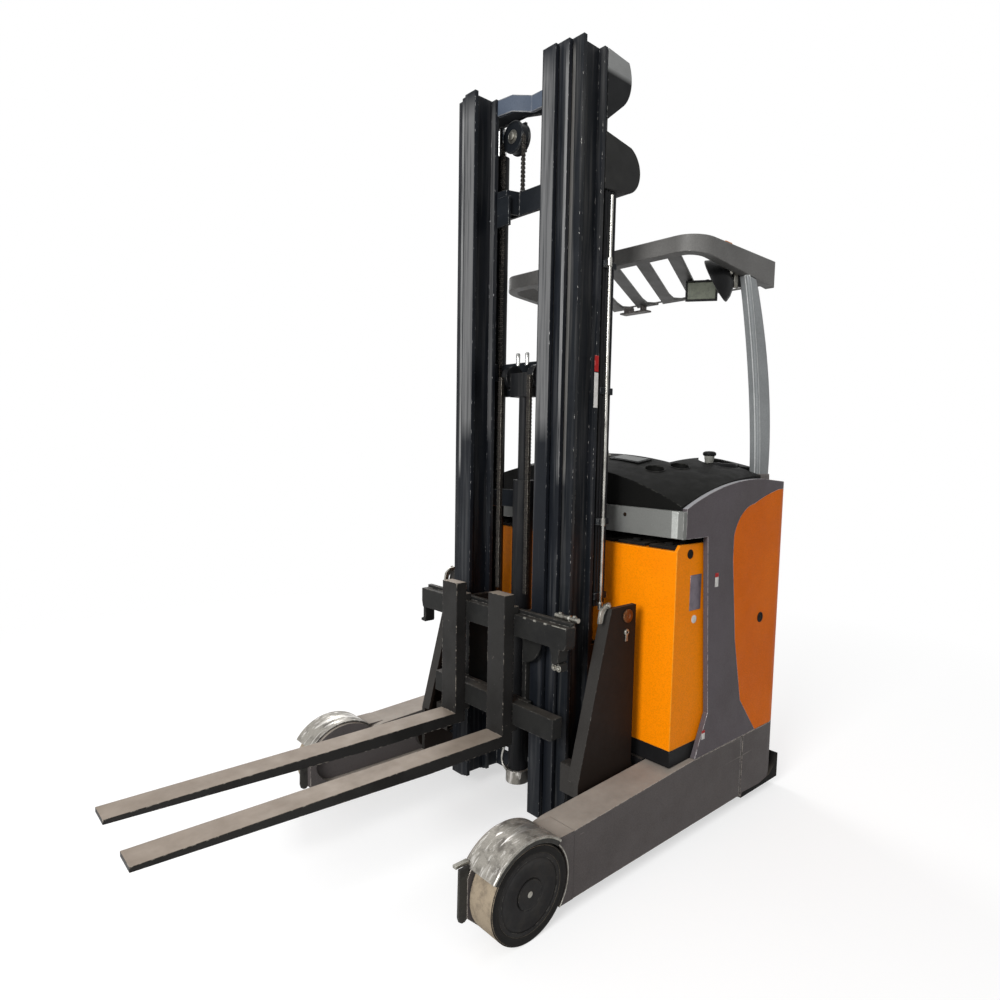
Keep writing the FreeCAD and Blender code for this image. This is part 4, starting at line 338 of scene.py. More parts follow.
# ---- The load wheels and their covers ----
# Cast wheels with bonded polyurethane tyres turn on axles in the arms.
# Bent steel covers, scoured bright by use, are bolted over them.
cover_steel = surface(
    "scoured_steel", (150, 146, 138), (104, 100, 94), (216, 212, 206), (0.36, 0.5), metal=0.35,
    patch_size=0.05, patch_cover=0.45, edge_wear_and_highlight=0.9, scratch=0.75,
    scratch_stretch=(1, 0.25, 0.25), scratch_size=0.012, grain_depth=0.12,
    side_colour=(72, 70, 67))
dress(cover_steel, "wheel_cover_left", "wheel_cover_right")
wheel_iron = surface(
    "wheel_iron", (34, 33, 33), (42, 40, 38), (96, 92, 86), (0.45, 0.65), metal=0.2,
    patch_size=0.05, grain_size=0.003, grain_depth=0.2, edge_wear_and_highlight=0.5)
dress(wheel_iron, "load_wheel_left", "load_wheel_right")
dusty_tyre = surface(
    "dusty_tyre", (158, 144, 124), (130, 118, 102), (60, 56, 52), (0.75, 0.9), patch_size=0.04,
    grain_size=0.002, grain_depth=0.25, edge_width=0.006, worn_metal=0.0, worn_roughness=0.85,
    side_colour=(36, 35, 34))
dress(dusty_tyre, "load_tyre_left", "load_tyre_right")
rim_dark = surface(
    "cover_rim_dark", (62, 61, 58), (52, 51, 49), (104, 102, 98), (0.5, 0.65), patch_size=0.05,
    edge_wear_and_highlight=0.5)
cover_rims, bright_rims, noses, guards = meshes(4)
wheel_x, wheel_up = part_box("load_wheel_left")[1][0] / mm, 145
nose_x, guard_x, hollow_radius, lip_radius = 516, 508, 153, 157
arch = [math.radians(147 - 100 * k / 36) for k in range(37)]
bow = [math.radians(46.5 - 85 * k / 30) for k in range(31)]


def slab(mesh, low, high, draw_in=0.0):
    """Adds a block between two corners, drawn in towards its top by a share."""
    grow = [(low[k] + high[k]) / 2 for k in range(3)]
    corners = []
    for z in (low[2], high[2]):
        keep = 1 - draw_in if z == high[2] else 1
        for x, y in rect(low[0], high[0], low[1], high[1]):
            corners.append(mesh.verts.new((grow[0] + (x - grow[0]) * keep,
                                           grow[1] + (y - grow[1]) * keep, z)))
    for face in ((3, 2, 1, 0), (4, 5, 6, 7), (0, 1, 5, 4), (1, 2, 6, 5), (2, 3, 7, 6),
                 (3, 0, 4, 7)):
        mesh.faces.new([corners[k] for k in face])


def post(mesh, x, half, low, high, draw_in=0.0):
    """Adds a block by its middle and half width, and two corners as (back, up)."""
    slab(mesh, at(x - half, *low), at(x + half, *high), draw_in)


def ring_at(radius, angles):
    """Points on a circle about the wheel's axle, as (back, up)."""
    return [(radius * math.cos(a), wheel_up + radius * math.sin(a)) for a in angles]


hollow = ring_at(hollow_radius, bow)
lip = [(back * lip_radius / hollow_radius, wheel_up + (up - wheel_up) * lip_radius / hollow_radius)
       for back, up in hollow[::-1]]
for side, hand in ((1, "left"), (-1, "right")):
    hub, rings, caps = meshes(3)
    face, out = at(side * wheel_x, 0, wheel_up), (side, 0, 0)
    turn(hub, [(112, -12), (112, -5), (108, -2), (97, -2), (92, -5), (62, -6.5), (56, -3.5),
               (48, -3), (44, -6), (31, -7), (28, -2.5), (22, -1.5), (18, -4), (8, -5)],
         face, out, 64)
    turn(rings, [(142, -0.5), (141, 1.4), (137, 1.6), (134, 0.2), (128, 0.2), (126, 1.6),
                 (121, 1.4), (118.5, -0.5)], face, out, 72)
    turn(caps, [(14, -5), (13, -1.5), (8, 0.5), (0, 0.8)], face, out, 24)
    piece(f"wheel_hub_{hand}", hub, wheel_iron, f"wheel_{hand}", highlight=0.8)
    piece(f"tyre_rings_{hand}", rings, dusty_tyre, f"wheel_{hand}", highlight=0)
    piece(f"hub_cap_{hand}", caps, zinc, f"wheel_{hand}", highlight=0)
    side_sheet(cover_rims, side, 621, ring_at(162.8, arch) + ring_at(149, arch[::-1]), 13.5)
    side_sheet(bright_rims, side, 632.9, ring_at(169, arch) + ring_at(163, arch[::-1]), 2)
    side_sheet(noses, side, nose_x, [(178, 271), (116, 271.5)] + hollow + [(178, 49.5)], 109.8)
    side_sheet(bright_rims, side, 625, hollow + lip, 1.6)
    post(bright_rims, side * guard_x, 8, (-184, 247), (-138, 256))
    side_sheet(guards, side, nose_x, [(-178, 247), (-180, 104), (-176, 90), (-166, 82), (-156, 82),
                                      (-146, 90), (-142, 104), (-142, 247)], 8)
for side, hand in ((1, "left"), (-1, "right")):
    wheel_cover = bmesh.new()
    side_sheet(wheel_cover, side, 500, ring_at(171, arch) + ring_at(163, arch[::-1]), 134.5)
    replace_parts(piece(f"cover_{hand}", wheel_cover, cover_steel, "chassis",
                      highlight=2), f"wheel_cover_{hand}")
piece("cover_rims", cover_rims, rim_dark, "chassis", highlight=2)
piece("arm_noses", noses, nose_paint, "chassis", highlight=0)
piece("bright_rims", bright_rims, zinc, "chassis", highlight=0.6)
piece("guard_plates", guards, rim_dark, "chassis", highlight=2)

# ---- The battery ----
# A lead battery in a welded steel case, painted orange, stands in a black tray behind the mast.
# Its side walls stand proud of the cells and carry a lifting hole and bare data plates.
# The brighter orange along the case's edges is a painted highlight, laid on through the finish's
# edge colour.
battery_orange = surface(
    "battery_orange", (252, 140, 0), (246, 132, 0), (255, 176, 58), (0.42, 0.55), patch_size=0.6,
    grain_depth=0.03, edge_width=0.006, edge_wear_and_highlight=1.0, worn_metal=0.0, worn_roughness=0.35,
    specular=0.1)
dress(battery_orange, "battery")
tray_black = surface(
    "tray_black", (24, 24, 25), (32, 31, 30), (86, 82, 78), (0.45, 0.65), edge_wear_and_highlight=0.4, dust=0.2)
dress(tray_black, "battery_tray")
case_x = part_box("battery")[1][0] / mm
lugs, plates, spots = meshes(3)
# Each lifting hole is drawn as a raised ring with a flat black middle, a painted shade for the
# inside of the hole.
for side in (1, -1):
    turn(lugs, [(17, 0), (17, 1.4), (13, 1.8), (11.5, 0.5), (0, 0.4)],
         at(side * case_x, 757, 1070), (side, 0, 0), 32)
    side_sheet(plates, side, case_x, rect(764, 832, 862, 992), 1.2)
    turn(spots, [(15, 0), (15, 0.9), (13, 1.1), (0, 1.1)], at(side * case_x, 796, 828),
         (side, 0, 0), 28)
# Black for latches, bolts and cup wells; on the lifting holes it is painted shade.
black_and_hole_shade = surface("deep_black_and_painted_hole_shade", (10, 9, 9), (16, 15, 15), (60, 40, 20), (0.6, 0.8))
plate_grey = surface(
    "bare_data_plate", (116, 108, 116), (104, 98, 106), (160, 156, 160), (0.3, 0.42), metal=0.4,
    patch_size=0.03)
label_white = surface(
    "bare_label", (222, 220, 216), (206, 204, 200), (180, 176, 170), (0.4, 0.5), patch_size=0.02,
    worn_metal=0.0)
label_red = surface(
    "label_red", (176, 34, 34), (158, 30, 32), (200, 120, 110), (0.4, 0.5), patch_size=0.02,
    worn_metal=0.0)
piece("lifting_holes", lugs, black_and_hole_shade, "chassis", highlight=0)
piece("data_plates", plates, plate_grey, "chassis", highlight=0.5)
piece("battery_spots", spots, label_white, "chassis", highlight=0)
cells = bmesh.new()
for x in range(-525, 526, 150):
    for back in (735, 819, 903):
        post(cells, x, 66, (back - 38, 1084), (back + 38, 1096), 0.04)
        turn(cells, [(16, 10), (16, 19), (13, 22), (0, 22)], at(x, back, 1084), (0, 0, 1), 20)
piece("battery_cells", cells, rubber, "chassis", highlight=2)

# ---- The side panels, the rear panels and the band ----
# Bent steel doors in a warm violet grey, with orange corner panels let into them, written darker
# than the battery's orange as painted shade.
# A lighter grey band crosses the front between the two sides, over the battery.
# The lighter top faces and the bright edges of the doors are painted highlights.
panel_grey = surface(
    "panel_violet_grey", (90, 84, 88), (84, 78, 80), (182, 176, 176), (0.45, 0.6), patch_size=0.7,
    edge_width=0.0035, edge_wear_and_highlight=0.85, top_colour=(150, 150, 153))
dress(panel_grey, "side_panel_left", "side_panel_right")
# The corner panels' orange is darker than the battery's orange as painted shade.
panel_orange_with_painted_shade = surface(
    "panel_orange_with_painted_shade", (226, 110, 0), (216, 102, 0), (214, 156, 92), (0.45, 0.58), patch_size=0.7,
    grain_depth=0.04, edge_wear_and_highlight=0.3, worn_metal=0.2, specular=0.1)
dress(panel_orange_with_painted_shade, "rear_panel_left", "rear_panel_right")
band_grey = surface(
    "band_grey", (122, 123, 120), (108, 109, 107), (180, 180, 176), (0.35, 0.5), metal=0.15)
dress(band_grey, "hood_band")
skin_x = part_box("side_panel_left")[1][0] / mm
latches, white_labels, red_labels, band_bolts, band_corner_highlights = meshes(5)
for side in (1, -1):
    turn(latches, [(21, 0), (21, 1.2), (18, 2), (16, 0.8), (6, 0.8), (5, 2.4), (0, 2.4)],
         at(side * skin_x, 1227, 774), (side, 0, 0), 32)
    for back, up, wide, tall in ((888, 938, 22, 52), (846, 366, 20, 34)):
        for mesh, low, high in ((white_labels, 0, 0.7), (red_labels, 0.7, 1)):
            side_sheet(mesh, side, skin_x, rect(back, back + wide, up + tall * low,
                                                up + tall * high), 0.5)
    bolt(band_bolts, at(side * 360, 677, 1196), (0, -1, 0), 8)
    post(band_corner_highlights, side * 588, 14, (675.6, 1130), (678, 1225))
piece("panel_latches", latches, black_and_hole_shade, "chassis", highlight=0)
piece("white_labels", white_labels, label_white, "chassis", highlight=0)
piece("red_labels", red_labels, label_red, "chassis", highlight=0)
# The bright strips at the band's front corners are painted highlights.
band_highlight = surface(
    "band_corner_painted_highlight", (186, 188, 184), (170, 172, 168), (214, 214, 210), (0.3, 0.45),
    metal=0.2, patch_size=0.05)
piece("band_corner_highlights", band_corner_highlights, band_highlight, "chassis", highlight=1)
piece("band_bolts", band_bolts, black_and_hole_shade, "chassis", highlight=0)

# ---- The dash, the steering wheel and the lever ----
# A moulded black cover closes the battery room and carries cups, display, key and stop button.
# The small hand wheel turns on a spinner knob; a single lever stands beside the seat.
dash_black = surface(
    "dash_black", (20, 20, 19), (15, 15, 15), (70, 70, 66), (0.5, 0.65), patch_size=0.4,
    grain_size=0.0016, grain_depth=0.35, edge_width=0.006, edge_wear_and_highlight=0.5, worn_metal=0.0,
    worn_roughness=0.5, dust=0.3, dust_colour=(38, 38, 36), specular=0.06)
dress(dash_black, "dash", "steering_console", "seat_base")
wheel_black = surface(
    "hand_wheel_black", (17, 17, 18), (22, 22, 22), (70, 70, 68), (0.4, 0.55), grain_size=0.0012,
    grain_depth=0.3, worn_metal=0.0, edge_wear_and_highlight=0.3)
dress(wheel_black, "controls")
knob_grey = surface(
    "knob_stem_grey", (128, 128, 122), (112, 112, 108), (160, 158, 152), (0.4, 0.55),
    patch_size=0.02)
dash_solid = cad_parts["dash"].data
dash_top = BVHTree.FromPolygons([v.co for v in dash_solid.vertices],
                                [f.vertices for f in dash_solid.polygons])


def on_dash(x, back, reach=20):
    """A spot on the dash and the way its surface leans there, felt out around the spot."""
    felt = [dash_top.ray_cast(at(x + step_x, back + step_back, 2000), Vector((0, 0, -1)))[0]
            for step_x, step_back in ((reach, 0), (0, reach), (-reach, 0), (0, -reach))]
    lean = (felt[0] - felt[2]).cross(felt[1] - felt[3]).normalized()
    return sum(felt, Vector()) / 4, lean


def lay_out(mesh, centre, lean, corners, thick):
    """Adds a flat plate lying on a leaning surface."""
    along = Vector((1, 0, 0)).cross(lean).normalized()
    across = along.cross(lean) * -1
    sheet_of(mesh, [centre + across * (-x * mm) + along * (-y * mm) for x, y in corners],
             lean * thick * mm)


wells, well_rims = meshes(2)
for x, back in ((350, 858), (390, 965)):
    spot, lean = on_dash(x, back, 44)
    turn(wells, [(0, 1276), (34, 1276), (37.4, 1280), (37.6, spot.z / mm - 9)],
         at(x, back, 0), (0, 0, 1), 48)
    turn(well_rims, [(37, -3), (37.5, 1.5), (39.5, 2.6), (43, 2), (45, -2)], spot, lean, 48)
piece("cup_wells", wells, black_and_hole_shade, "chassis", highlight=0)
piece("cup_rims", well_rims, dash_black, "chassis", highlight=0)

wheel_rim, knob_stem, knob_cap = meshes(3)
wheel_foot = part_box("steering_wheel")[0][2] / mm
turn(wheel_rim, [(0, 0), (20, 0), (20, 36), (64, 38), (70, 36), (76, 42), (76, 52), (70, 58),
                 (64, 56), (24, 54), (18, 58), (0, 60)], at(415, 1200, wheel_foot), (0, 0, 1), 64)
turn(knob_stem, [(16, 40), (17, 60), (20, 74), (21, 86), (19, 90)],
     at(405, 1145, wheel_foot), (0, 0, 1), 32)
turn(knob_cap, [(18, 84), (26, 88), (28, 94), (26, 100), (18, 104.5), (0, 105.7)],
     at(405, 1145, wheel_foot), (0, 0, 1), 36)
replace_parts(piece("wheel_rim", wheel_rim, wheel_black, "hand_wheel"),
            "steering_wheel")
piece("knob_stem", knob_stem, knob_grey, "hand_wheel", highlight=0)
piece("knob_cap", knob_cap, wheel_black, "hand_wheel", highlight=0)

stop_red = surface(
    "stop_button_red", (190, 24, 22), (170, 20, 20), (220, 120, 110), (0.25, 0.4), patch_size=0.02,
    worn_metal=0.0)
display_grey = surface(
    "display_grey", (58, 66, 60), (50, 56, 52), (90, 96, 92), (0.12, 0.2), patch_size=0.03,
    worn_metal=0.0, grain_depth=0.0)
buttons, key_parts, display, display_frame = meshes(4)
spot, lean = on_dash(190, 900)
lay_out(display_frame, spot, lean, rect(-78, 78, -46, 46), 5)
lay_out(display, spot, lean, rect(-66, 66, -34, 34), 6)
spot, lean = on_dash(-60, 930)
turn(buttons, [(12, 0), (12, 14), (19, 16), (20, 22), (17, 26), (0, 27)], spot, lean, 32)
spot, lean = on_dash(60, 905)
turn(key_parts, [(15, 0), (15, 4), (12, 6), (6, 6), (6, 4)], spot, lean, 28)
lay_out(key_parts, spot, lean, rect(-1.2, 1.2, -7, 7), 24)
piece("display_frame", display_frame, wheel_black, "chassis", highlight=2.5)
piece("display", display, display_grey, "chassis", highlight=0.8)
piece("stop_button", buttons, stop_red, "chassis", highlight=0)
piece("key_switch", key_parts, zinc, "chassis", highlight=0.4)

# ---- The floor, the step and the pedals ----
# A ribbed rubber mat covers the steel floor; the step below it is edged with a worn grip strip.
# Two pads of ribbed rubber lie on the steel pedals.
floor_steel = surface(
    "floor_steel", (32, 31, 31), (42, 40, 39), (120, 116, 110), (0.45, 0.65), metal=0.2,
    edge_wear_and_highlight=0.7, dust=0.4, scratch=0.2)
dress(floor_steel, "floor_and_step", "hydraulic_unit")
mat, pads = meshes(2)
slab(mat, at(-34, 1188, 500), at(326, 1226, 501.5))
for x in range(-30, 301, 33):
    slab(mat, at(x, 1190, 501.5), at(x + 17, 1224, 504), 0.08)
for back in range(1236, 1417, 20):
    slab(mat, at(-34, back, 312.3), at(326, back + 11, 315.5), 0.05)
for low_x in (200, 264):
    for k in range(8):
        slab(pads, at(low_x + 3, 1041 + k * 15.5, 545), at(low_x + 45, 1049 + k * 15.5, 549), 0.1)
piece("grip_strips", mat, rubber, "chassis", highlight=0.8)
piece("pedal_pads", pads, rubber, "chassis", highlight=0.8)

# ---- The seat ----
# A folding seat turned across the truck: foam cushions in black woven cloth, with sewn channels.
# They stand on the solids' own seat base and carry the softness of their foam.
cloth = surface(
    "seat_cloth", (26, 26, 29), (20, 20, 23), (56, 56, 60), (0.85, 0.95), patch_size=0.12,
    grain_size=0.0018, grain_depth=0.5, edge_width=0.002, edge_wear_and_highlight=0.2, worn_metal=0.0,
    worn_roughness=0.9, sheen=0.2, dust=0.1, dust_colour=(60, 58, 56))


def cushion(name, low, high, crown_axis, swell, channels):
    """A foam pad: drawn-in corners, blown up under its cloth, with sewn channels pressed in."""
    pad = bmesh.new()
    slab(pad, low, high)
    bmesh.ops.bevel(pad, geom=list(pad.edges), offset=26 * mm, segments=4, profile=0.6,
                    affect="EDGES")
    made = piece(name, pad, cloth, "chassis", highlight=0, smooth=180)
    steps = made.modifiers.new("even_mesh", "REMESH")
    steps.mode = "VOXEL"
    steps.voxel_size = 7 * mm
    bpy.context.view_layer.update()
    body = bpy.data.meshes.new_from_object(
        made.evaluated_get(bpy.context.evaluated_depsgraph_get()))
    made.modifiers.clear()
    made.data = body
    before = [v.co.copy() for v in body.vertices]
    blown = made.modifiers.new("blown_foam", "CLOTH")
    blown.settings.quality = 5
    blown.settings.use_pressure = True
    blown.settings.uniform_pressure_force = 4
    blown.settings.effector_weights.gravity = 0
    scene = bpy.context.scene
    for step in range(1, 15):
        scene.frame_set(step)
    shaped = made.evaluated_get(bpy.context.evaluated_depsgraph_get()).to_mesh()
    after = [v.co.copy() for v in shaped.vertices]
    made.evaluated_get(bpy.context.evaluated_depsgraph_get()).to_mesh_clear()
    made.modifiers.clear()
    for vertex, old, new in zip(body.vertices, before, after):
        push = new - old
        if push.length > swell * mm:
            push *= swell * mm / push.length
        vertex.co = old + push
    scene.frame_set(1)
    middle = (low[crown_axis] + high[crown_axis]) / 2
    half_channel, channel_depth, room = 16 * mm, 7 * mm, 6 * mm
    for vertex in body.vertices:
        if (vertex.co[crown_axis] - middle) / (high[crown_axis] - middle) < 0.2:
            continue
        for axis, place in channels:
            gap = abs(vertex.co[axis] - place)
            if gap < half_channel:
                vertex.co[crown_axis] -= channel_depth * (1 - gap / half_channel) ** 1.5
    for vertex in body.vertices:
        vertex.co = Vector([min(max(vertex.co[n], low[n] - room), high[n] + room)
                            for n in range(3)])
    body.polygons.foreach_set("use_smooth", [True] * len(body.polygons))
    soft = made.modifiers.new("soft", "SUBSURF")
    soft.levels = soft.render_levels = 1
    return made


def fitted(node, inset):
    """A solid's own room, drawn in by a cushion's swelling."""
    low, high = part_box(node)
    step = Vector((inset, inset, inset)) * mm
    return Vector(low) + step, Vector(high) - step


seat_low, seat_high = fitted("seat_cushion", 9)
seat_pad = cushion("seat_pad", Vector((seat_low.x, seat_low.y, seat_low.z - 8 * mm)), seat_high, 2,
                   22, [(1, seat_low.y + 0.085), (1, seat_high.y - 0.085),
                        (0, seat_low.x + 0.19), (0, seat_low.x + 0.29)])
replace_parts(seat_pad, "seat_cushion")
back_low, back_high = fitted("seat_back", 9)
back_pad = cushion("back_pad", back_low, back_high, 0,
                   22, [(1, back_low.y + 0.085), (1, back_high.y - 0.085),
                        (2, back_low.z + 0.17), (2, back_low.z + 0.31), (2, back_low.z + 0.42)])
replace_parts(back_pad, "seat_back")

# ---- The roof guard, its pillars and what hangs from it ----
# A bent steel band, deepest at its rear ends, holds slanting flat bars over the driver.
# Two bowed tubes in silver paint carry it; a round mirror and a work lamp hang beneath.
roof_grey = surface(
    "roof_grey", (112, 111, 109), (98, 97, 95), (176, 173, 167), (0.42, 0.55), metal=0.1,
    patch_size=0.5)
band, slats = meshes(2)
guard_top, front_depth, rear_depth = 2208, 60, 104
roof_front, roof_rear, roof_side, band_wide, corner = 800, 1338, 550, 40, 100


def roof_low(back):
    """The height of the band's lower edge, which falls towards the rear."""
    share = (back - roof_front) / (roof_rear - roof_front)
    return guard_top - front_depth - share * (rear_depth - front_depth)


def bent(inset):
    """One side of the band seen from above, from its rear end round both front corners."""
    x, front, radius = roof_side - inset, roof_front + inset, corner - inset
    quarter = [math.radians(90 * k / 14) for k in range(15)]
    near = [(x - radius + radius * math.cos(a), front + radius - radius * math.sin(a))
            for a in quarter]
    return [(x, roof_rear)] + near + [(-px, back) for px, back in near[::-1]] + [(-x, roof_rear)]


def swept(mesh, rows):
    """Adds a bent bar: four rows of points along its edges, joined and closed at both ends."""
    rows = [[mesh.verts.new(point) for point in row] for row in rows]
    for row, following in zip(rows, rows[1:] + rows[:1]):
        for k in range(len(row) - 1):
            mesh.faces.new((row[k], row[k + 1], following[k + 1], following[k]))
    for end in (0, -1):
        mesh.faces.new([row[end] for row in rows])


swept(band, [[at(x, back, guard_top if high else roof_low(back)) for x, back in bent(inset)]
             for inset, high in ((0, False), (0, True), (band_wide, True), (band_wide, False))])
slat_pitch, slant = 151, 0.49
for number in range(-4, 2):
    front_x = 281 + number * slat_pitch
    edges = []
    for back, low_half, high_half in ((roof_front + 8, 30, 30), (1240, 30, 30), (1300, 30, 40),
                                      (1334, 32, 96)):
        x = front_x - (back - roof_front) * slant
        edges.append((min(max(x - low_half, -514), 500), max(x + high_half, -500), back))
    outline = [(low, back) for low, high, back in edges]
    outline += [(high, back) for low, high, back in edges[::-1]]
    outline = [spot for k, spot in enumerate(outline) if spot != outline[k - 1]]
    if edges[-1][1] > edges[-1][0]:
        low = [slats.verts.new(at(x, back, roof_low(back) + 6)) for x, back in outline]
        high = [slats.verts.new(at(x, back, roof_low(back) + 18)) for x, back in outline]
        slats.faces.new(low)
        slats.faces.new(high[::-1])
        for k in range(len(low)):
            slats.faces.new((low[k], low[k - 1], high[k - 1], high[k]))
slab(slats, at(-512, 1326, roof_low(1326) + 14), at(512, 1337, roof_low(1326) + 20))
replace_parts(piece("roof_band", band, roof_grey, "chassis", highlight=2.5),
            "roof_guard")
piece("roof_slats", slats, roof_grey, "chassis", highlight=2)

pillar_silver = surface(
    "pillar_silver", (140, 143, 144), (126, 129, 130), (206, 208, 206), (0.32, 0.45), metal=0.3,
    patch_size=0.4, grain_depth=0.03, edge_width=0.006, edge_wear_and_highlight=0.4)
# The bright strip along each pillar's front corner is a painted highlight.
pillar_highlight = surface(
    "pillar_painted_highlight", (206, 208, 207), (188, 190, 190), (226, 226, 222), (0.25, 0.4),
    metal=0.3, patch_size=0.2)
head_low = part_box("pillar_left")[1][2] / mm
pillar_front, pillar_rear, pillar_bend = 1284, 1372, 1355
# The strip's points and faces are sorted along this, so that each run gives them in one order.
same_order = Vector((1.3, 2.9, 53.7))
for side, hand in ((1, "left"), (-1, "right")):
    tube, strip, collar = meshes(3)
    front_edge, rear_edge = [(pillar_front, 302)], [(pillar_rear, 302)]
    for k in range(17):
        share, up = k / 16, pillar_bend + (head_low - pillar_bend) * k / 16
        bow, lean = 4 * share * (1 - share), share ** 1.9
        front_edge.append((pillar_front - 148 * lean - 8 * bow, min(up, roof_low(1132) - 0.5)))
        rear_edge.append((pillar_rear - 172 * lean + 10 * bow, min(up, roof_low(1200) - 0.5)))
    side_sheet(tube, side, 508, front_edge + rear_edge[::-1], 42)
    for k in range(len(front_edge) - 1):
        (back, up), (next_back, next_up) = front_edge[k], front_edge[k + 1]
        for (x, inset), (next_x, next_inset) in (((533, -0.9), (545, 2)), ((545, 2), (550.9, 13))):
            strip.faces.new([strip.verts.new(corner) for corner in (
                at(side * x, back + inset, up), at(side * next_x, back + next_inset, up),
                at(side * next_x, next_back + next_inset, next_up),
                at(side * x, next_back + inset, next_up))])
    bmesh.ops.remove_doubles(strip, verts=strip.verts, dist=0.0001)
    bmesh.ops.solidify(strip, geom=strip.faces[:], thickness=0.8 * mm)
    strip.verts.sort(key=lambda vertex: vertex.co.dot(same_order))
    strip.faces.sort(key=lambda face: face.calc_center_median().dot(same_order))
    post(collar, side * 529, 25, (1280, 1322), (1376, 1350), 0.03)
    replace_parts(piece(f"pillar_{hand}_tube", tube, pillar_silver, "chassis",
                      highlight=6), f"pillar_{hand}")
    piece(f"pillar_{hand}_edge", strip, pillar_highlight, "chassis", highlight=0)
    piece(f"pillar_{hand}_collar", collar, light_steel_and_highlight, "chassis", highlight=4)

fitting_black = surface(
    "fitting_black", (16, 16, 17), (22, 22, 22), (74, 74, 72), (0.3, 0.5), patch_size=0.05,
    edge_width=0.002, worn_metal=0.1)
lens_green = surface(
    "lamp_lens", (118, 122, 108), (104, 108, 96), (150, 152, 140), (0.25, 0.4), patch_size=0.02,
    grain_depth=0.5, worn_metal=0.0)
amber = surface(
    "amber_reflector", (216, 128, 24), (196, 108, 18), (220, 160, 90), (0.15, 0.3),
    patch_size=0.01, worn_metal=0.0)
glass = surface(
    "mirror_glass", (186, 190, 188), (170, 176, 174), (200, 200, 200), (0.03, 0.06), metal=1.0,
    worn_metal=1.0, patch_size=0.05, grain_depth=0.0)
dish, dish_glass, lamp_case, lens, reflectors, roof_bolts, straps, plate = meshes(8)
facing = Vector((0.8, 0.3, 0.45)).normalized()
dish_middle = at(452, 1058, 2092)
turn(dish, [(84, 0), (88, 2), (88, 6), (78, 26), (58, 48), (36, 62), (20, 66), (0, 67)],
     dish_middle, facing, 56)
turn(dish, [(84, 0), (82, 3), (0, 3)], dish_middle, facing, 56)
turn(dish_glass, [(82, -1), (60, 3), (30, 5), (0, 5.6)], dish_middle, facing * -1, 48)
slab(dish, at(486, 1096, 2078), at(512, 1150, 2150), 0.05)
slab(straps, at(488, 1080, 2140), at(512, 1130, 2147))
slab(straps, at(506, 1100, 2070), at(514, 1124, 2144))
turn(straps, [(10, 66), (10, 72), (6, 75), (0, 75)], dish_middle, facing, 20)
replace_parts(piece("mirror_dish", dish, fitting_black, "chassis", highlight=0),
            "roof_fittings")
piece("mirror_face", dish_glass, glass, "chassis", highlight=0)
piece("mirror_straps", straps, zinc, "chassis", highlight=1)
lamp_out = Vector((0.5, -0.85, -0.12)).normalized()
lamp_side = Vector((0.85, 0.5, 0)).normalized()
lamp_up = lamp_side.cross(lamp_out) * -1


def lamp_part(mesh, low, high, low_up, high_up, front, thick):
    """Adds one block of the work lamp, measured from the middle of its front."""
    middle = at(350, 1118, 2083)
    sheet_of(mesh, [middle + lamp_side * x * mm + lamp_up * up * mm + lamp_out * front * mm
                    for x, up in rect(low, high, low_up, high_up)], lamp_out * thick * mm)


lamp_part(lamp_case, -62, 62, -38, 38, -44, 42)
for low, high, low_up, high_up in ((-64, 64, -41, -33), (-64, 64, 33, 41), (-64, -56, -33, 33),
                                   (56, 64, -33, 33)):
    lamp_part(lamp_case, low, high, low_up, high_up, -2, 8)
for x in range(-54, 45, 14):
    lamp_part(lamp_case, x, x + 6, -32, 32, -52, 8)
lamp_part(lens, -56, 56, -33, 33, -2, 4)
slab(lamp_case, at(356, 1130, 2112), at(372, 1146, roof_low(1140) + 8))
for side in (1, -1):
    post(reflectors, side * 532, 9, (985, 2207.5), (1034, 2216), 0.12)
    for back in (970, 1107):
        bolt(roof_bolts, at(side * 532, back, 2208), (0, 0, 1), 8)
slab(plate, at(-236, 1290, 2082), at(-80, 1336, 2090))
slab(plate, at(-220, 1300, 2090), at(-180, 1330, 2112))
slab(plate, at(-120, 1300, 2090), at(-104, 1330, 2118))
piece("rear_lamp_bracket", plate, light_steel_and_highlight, "chassis")
piece("lamp_case", lamp_case, fitting_black, "chassis", highlight=2)
piece("lamp_lens", lens, lens_green, "chassis")
piece("roof_reflectors", reflectors, amber, "chassis")
piece("roof_bolts", roof_bolts, zinc, "chassis", highlight=0)

# ---- The drive unit ----
# A gearbox leg steers on a slewing ring under an electric motor with cooling fins.
# Its wheel has a thick bonded polyurethane tread on an iron rim.
gear_iron = surface(
    "gear_iron", (32, 31, 30), (42, 40, 38), (104, 98, 92), (0.5, 0.7), metal=0.2,
    grain_size=0.003, grain_depth=0.35, edge_wear_and_highlight=0.5, dust=0.2)
dress(gear_iron, "drive_unit", "drive_motor", "reach_cylinder")
drive_tread = surface(
    "drive_tread", (96, 84, 66), (78, 70, 58), (60, 55, 48), (0.6, 0.85), patch_size=0.05,
    grain_size=0.003, grain_depth=0.3, worn_metal=0.0, worn_roughness=0.8)
dress(drive_tread, "drive_wheel")

